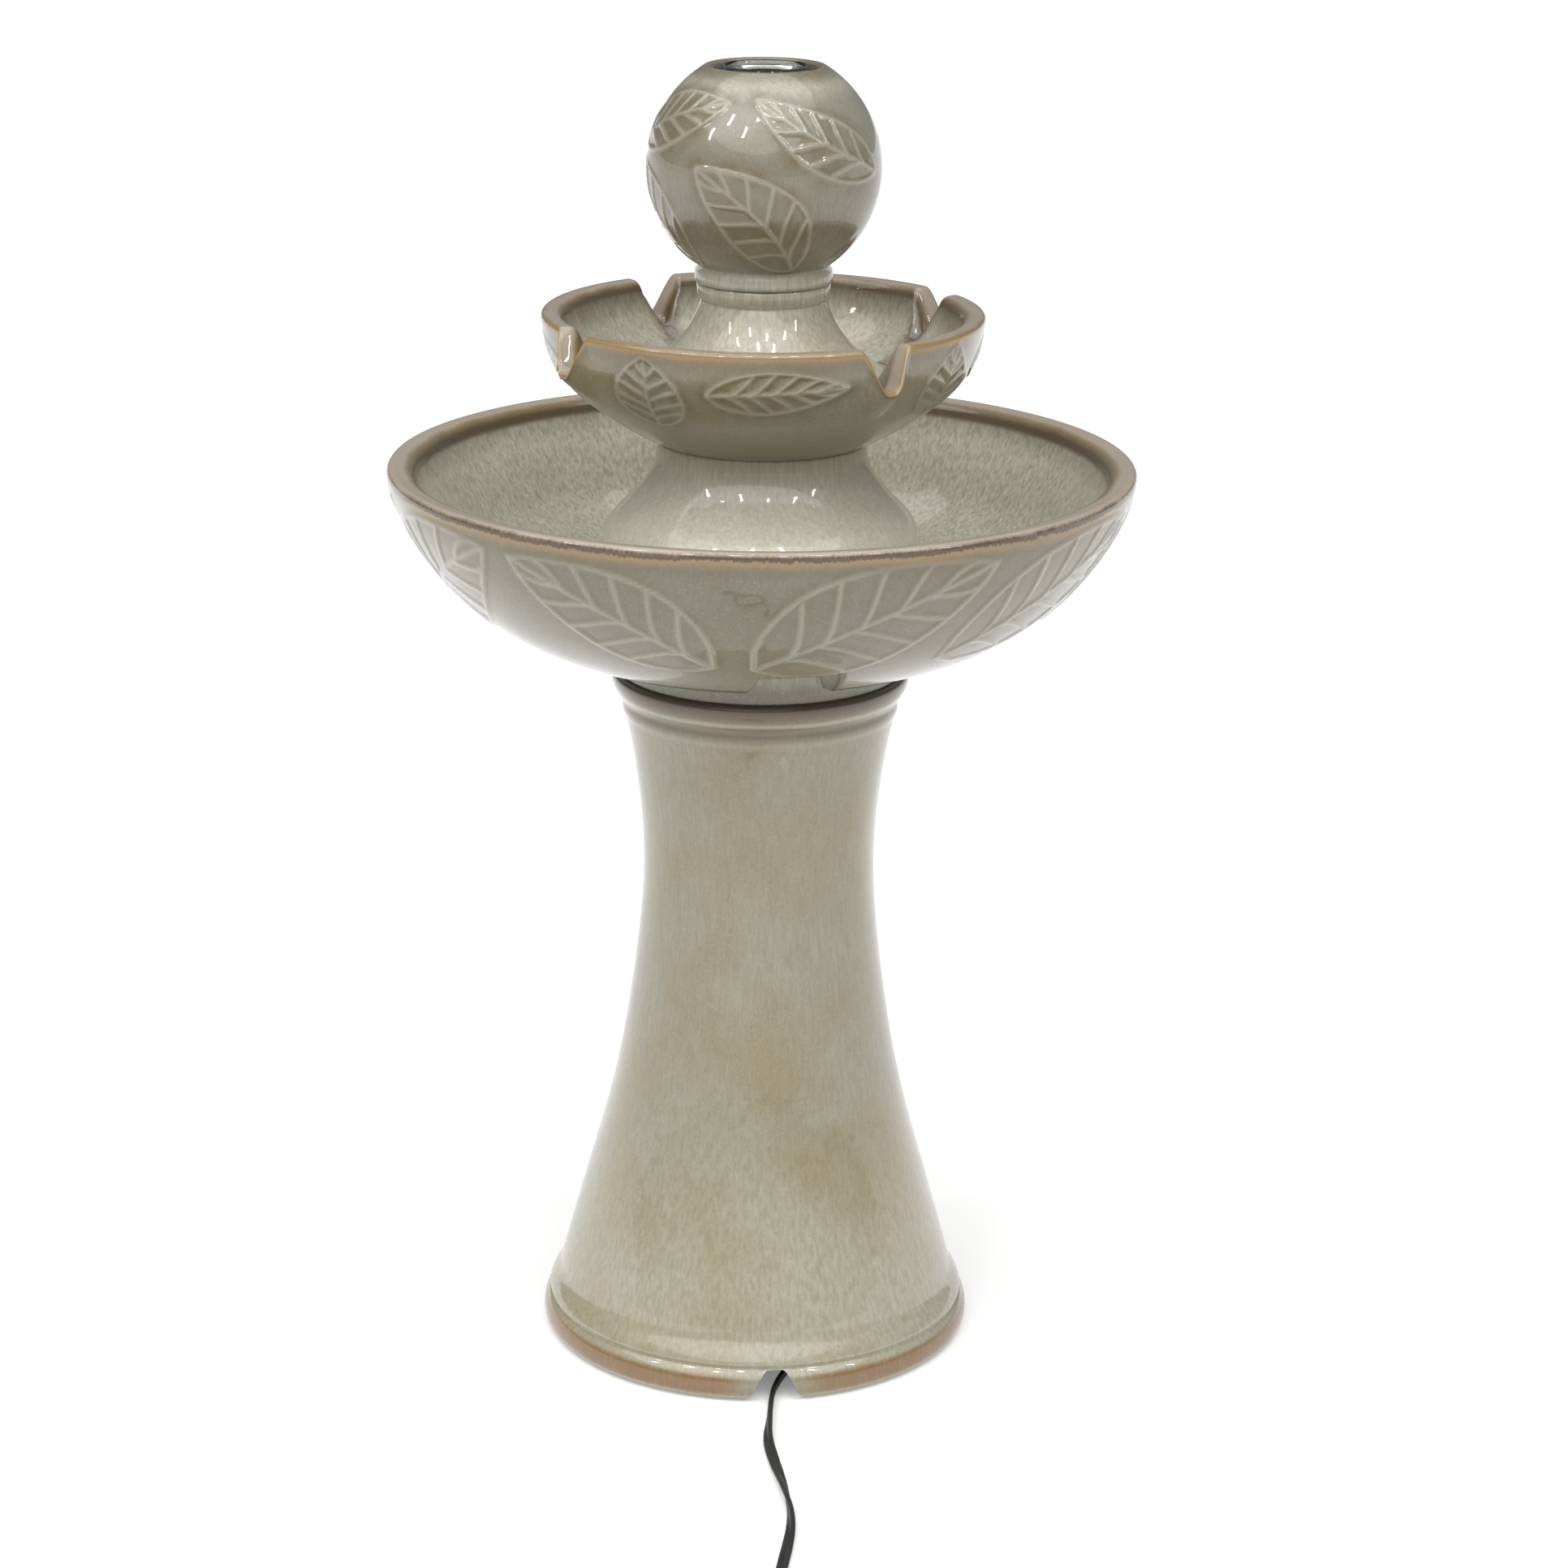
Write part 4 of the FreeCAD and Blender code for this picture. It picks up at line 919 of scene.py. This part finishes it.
def coil_points():
    points = []
    for i in range(1, round(COIL_TURNS * COIL_STEPS) + 1):
        turn = i / COIL_STEPS
        radius = np.interp(turn, *zip(*COIL_RADIUS))
        angle = -2 * math.pi * turn
        x = COIL_CENTRE[0] + radius * math.cos(angle)
        y = COIL_CENTRE[1] + radius * math.sin(angle)
        points.append((x, y, np.interp(turn, *zip(*COIL_HEIGHT))))
    return points


def cord_line():
    """The cord's centreline, in metres: a smooth curve led by the points of its routes, coil and tail."""
    route = INNER_CORD_ROUTE + CORD_ROUTE[1:] + coil_points() + CORD_TAIL
    curve = bpy.data.curves.new("cord_line", "CURVE")
    curve.dimensions = "3D"
    spline = curve.splines.new("NURBS")
    spline.points.add(len(route) - 1)
    for point, (x, y, z) in zip(spline.points, route):
        point.co = (x * MM, y * MM, z * MM, 1)
    spline.order_u = 3
    spline.use_endpoint_u = True
    curve.resolution_u = 10
    holder = bpy.data.objects.new("cord_line", curve)
    line = bpy.data.meshes.new_from_object(holder)
    points = np.array([v.co for v in line.vertices])
    bpy.data.objects.remove(holder)
    bpy.data.meshes.remove(line)
    return points


def cord_section():
    """A flat two-core cord's outline: two round lobes with a groove between them."""
    turns = np.radians(np.linspace(-120, 120, 9))
    lobe = [(LOBE_OFFSET + LOBE * math.cos(t), LOBE * math.sin(t)) for t in turns]
    other = [(-x, -y) for x, y in lobe]
    return np.array(lobe + [(0, GROOVE)] + other + [(0, -GROOVE)])


def cord_twist(points):
    """How far the cord is turned about its centreline at each point, in radians. In the coil it isn't."""
    turned = np.interp(points[:, 1], *zip(*CORD_TURNS))
    turned[np.argmax(points[:, 1] < COIL_START):] = 0
    return turned * math.pi / 2


def cord_rings(points):
    """The cord's outline at each point, carried along from its far end and laid down on the floor."""
    tangents = np.gradient(points, axis=0)
    tangents /= np.linalg.norm(tangents, axis=1, keepdims=True)
    twist = cord_twist(points)
    section = cord_section()
    wide = Vector((0, 0, 1))
    rings = [None] * len(points)
    for i in range(len(points) - 1, -1, -1):
        tangent = Vector(tangents[i])
        wide = (wide - tangent * wide.dot(tangent)).normalized()
        flat = tangent.cross(wide)
        across = wide * math.cos(twist[i]) + flat * math.sin(twist[i])
        thick = tangent.cross(across)
        half = LOBE + LOBE_OFFSET * abs(across.z)
        lowered = (LYING - half) * (1 - smooth_step(3.2, 12, points[i, 2])) * (abs(tangent.z) < 0.5)
        centre = points[i] - np.array([0, 0, lowered])
        rings[i] = centre + section[:, :1] * np.array(across) + section[:, 1:] * np.array(thick)
    return rings


def make_cord():
    path = cord_line()
    rings = cord_rings(path * 1000)
    first, last = [rings[0].mean(0, keepdims=True)], [rings[-1].mean(0, keepdims=True)]
    made = skin("power_cord", first + rings + last, False)
    made.data.materials.append(pitted("cord_skin", (0.007, 0.007, 0.008), 0.6, 0.02, Roughness=0.5))
    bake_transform(made)
    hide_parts("inner_cord", "cord", "cord_coil")


# ---------------------------------------------------------------- the CAD pieces that stay

FINISHES = {
    "pump_plastic": lambda: pitted("pump_black", (0.02, 0.02, 0.022), Roughness=0.45),
    "clear_hose": lambda: clear("hose_pvc", (0.86, 0.88, 0.86), IOR=1.45),
    "potting": lambda: pitted("potting_epoxy", (0.012, 0.012, 0.014), 3, 0.1, Roughness=0.2),
    "lamination_steel": lambda: banded("stacked_steel", (0.1, 0.1, 0.1), (0.45, 0.45, 0.46), 0.7, "Y", 0.05,
                                       Metallic=1.0, Roughness=0.4),
    "copper_wire": lambda: banded("wound_copper", (0.25, 0.08, 0.03), (0.8, 0.35, 0.16), 0.5, "Y", 0.08,
                                  Metallic=1.0, Roughness=0.3),
    "ferrite": lambda: pitted("ferrite_grey", (0.04, 0.04, 0.045), Roughness=0.35),
    "shaft_ceramic": lambda: pitted("alumina", (0.75, 0.74, 0.7), 0.5, 0.01, Roughness=0.2),
    "black_rubber": lambda: pitted("rubber_black", (0.015, 0.015, 0.016), 0.7, 0.06, Roughness=0.65),
    "cord_pvc": lambda: pitted("plug_pvc", (0.02, 0.02, 0.021), 0.6, 0.02, Roughness=0.38),
    "plug_brass": lambda: pitted("brass", (0.7, 0.52, 0.22), 0.6, 0.01, Metallic=1.0, Roughness=0.25),
}


def finish_kept_nodes():
    """Gives every CAD node that is still shown the finish of its material slot."""
    made = {}
    for name in BODY_OF:
        node = bpy.data.objects[name]
        slot_name = node.data.materials[0].name.split(".")[0] if node.data.materials else ""
        if node.hide_render or slot_name not in FINISHES:
            continue
        if slot_name not in made:
            made[slot_name] = FINISHES[slot_name]()
        node.data.materials.clear()
        node.data.materials.append(made[slot_name])


# ---------------------------------------------------------------- stage and light

FLOOR_REACH = 40000
FLOOR_DROP = 1
SURROUND_STRENGTH = 0.2
SUN_POWER = 3.3
SUN_SPREAD = 95
SUN_TILT = 22
SUN_TURN = -12
# The lamps' azimuths and elevations, in degrees. Distance, height and what they light are in metres.
LAMP_PLACES = ((-62, 36), (-48, 52), (-24, 44), (-10, 60), (8, 50), (24, 62), (40, 46), (60, 34))
LAMP_DISTANCE = 2.4
LAMP_HEIGHT = 0.42
LAMP_POWER = 3.4
LAMP_AIM = Vector((0, 0, 0.4))


def make_stage():
    """A pale floor just under the feet, wide enough to fill the photo's view."""
    finish, tree, shader = material("floor_white", Roughness=0.8, Emission_Strength=0.2)
    shader.inputs["Emission Color"].default_value = (1, 1, 1, 1)
    grain = grey_ramp(tree, noise(tree, 300, 2), 0.3, 0.7, 0, 1)
    tree.links.new(mixed(tree, grain, (0.80, 0.80, 0.80), (0.82, 0.82, 0.82)), shader.inputs["Base Color"])
    signs = ((-1, -1), (1, -1), (1, 1), (-1, 1))
    corners = [(x * FLOOR_REACH, y * FLOOR_REACH, -FLOOR_DROP) for x, y in signs]
    floor = arrays_mesh("floor", corners, [(0, 1, 2, 3)])
    floor.data.materials.append(finish)


def lamp(name, azimuth, elevation):
    """A tall narrow lamp that shines at the middle of the fountain."""
    data = bpy.data.lights.new(name, "AREA")
    data.energy = LAMP_POWER
    data.shape = "RECTANGLE"
    data.size = LAMP_HEIGHT / 4
    data.size_y = LAMP_HEIGHT
    turn, rise = math.radians(azimuth), math.radians(elevation)
    way = Vector((math.sin(turn) * math.cos(rise), -math.cos(turn) * math.cos(rise), math.sin(rise)))
    made = bpy.data.objects.new(name, data)
    made.location = way * LAMP_DISTANCE + LAMP_AIM
    made.rotation_euler = way.to_track_quat("Z", "Y").to_euler()
    SCENE.collection.objects.link(made)


def make_lights():
    world = bpy.data.worlds.new("surround")
    world.use_nodes = True
    background = world.node_tree.nodes["Background"]
    background.inputs["Color"].default_value = (1, 1, 1, 1)
    background.inputs["Strength"].default_value = SURROUND_STRENGTH
    SCENE.world = world
    ceiling = bpy.data.lights.new("ceiling", "SUN")
    ceiling.energy = SUN_POWER
    ceiling.angle = math.radians(SUN_SPREAD)
    made = bpy.data.objects.new("ceiling", ceiling)
    made.rotation_euler = (math.radians(SUN_TILT), 0, math.radians(SUN_TURN))
    SCENE.collection.objects.link(made)
    for i, (azimuth, elevation) in enumerate(LAMP_PLACES):
        lamp(f"spot_{i}", azimuth, elevation)


make_pedestal()
make_basin()
make_cover()
make_bowl()
make_globe()
make_cup()
make_cord()
finish_kept_nodes()
make_stage()
make_lights()
SCENE.view_settings.view_transform = "Standard"
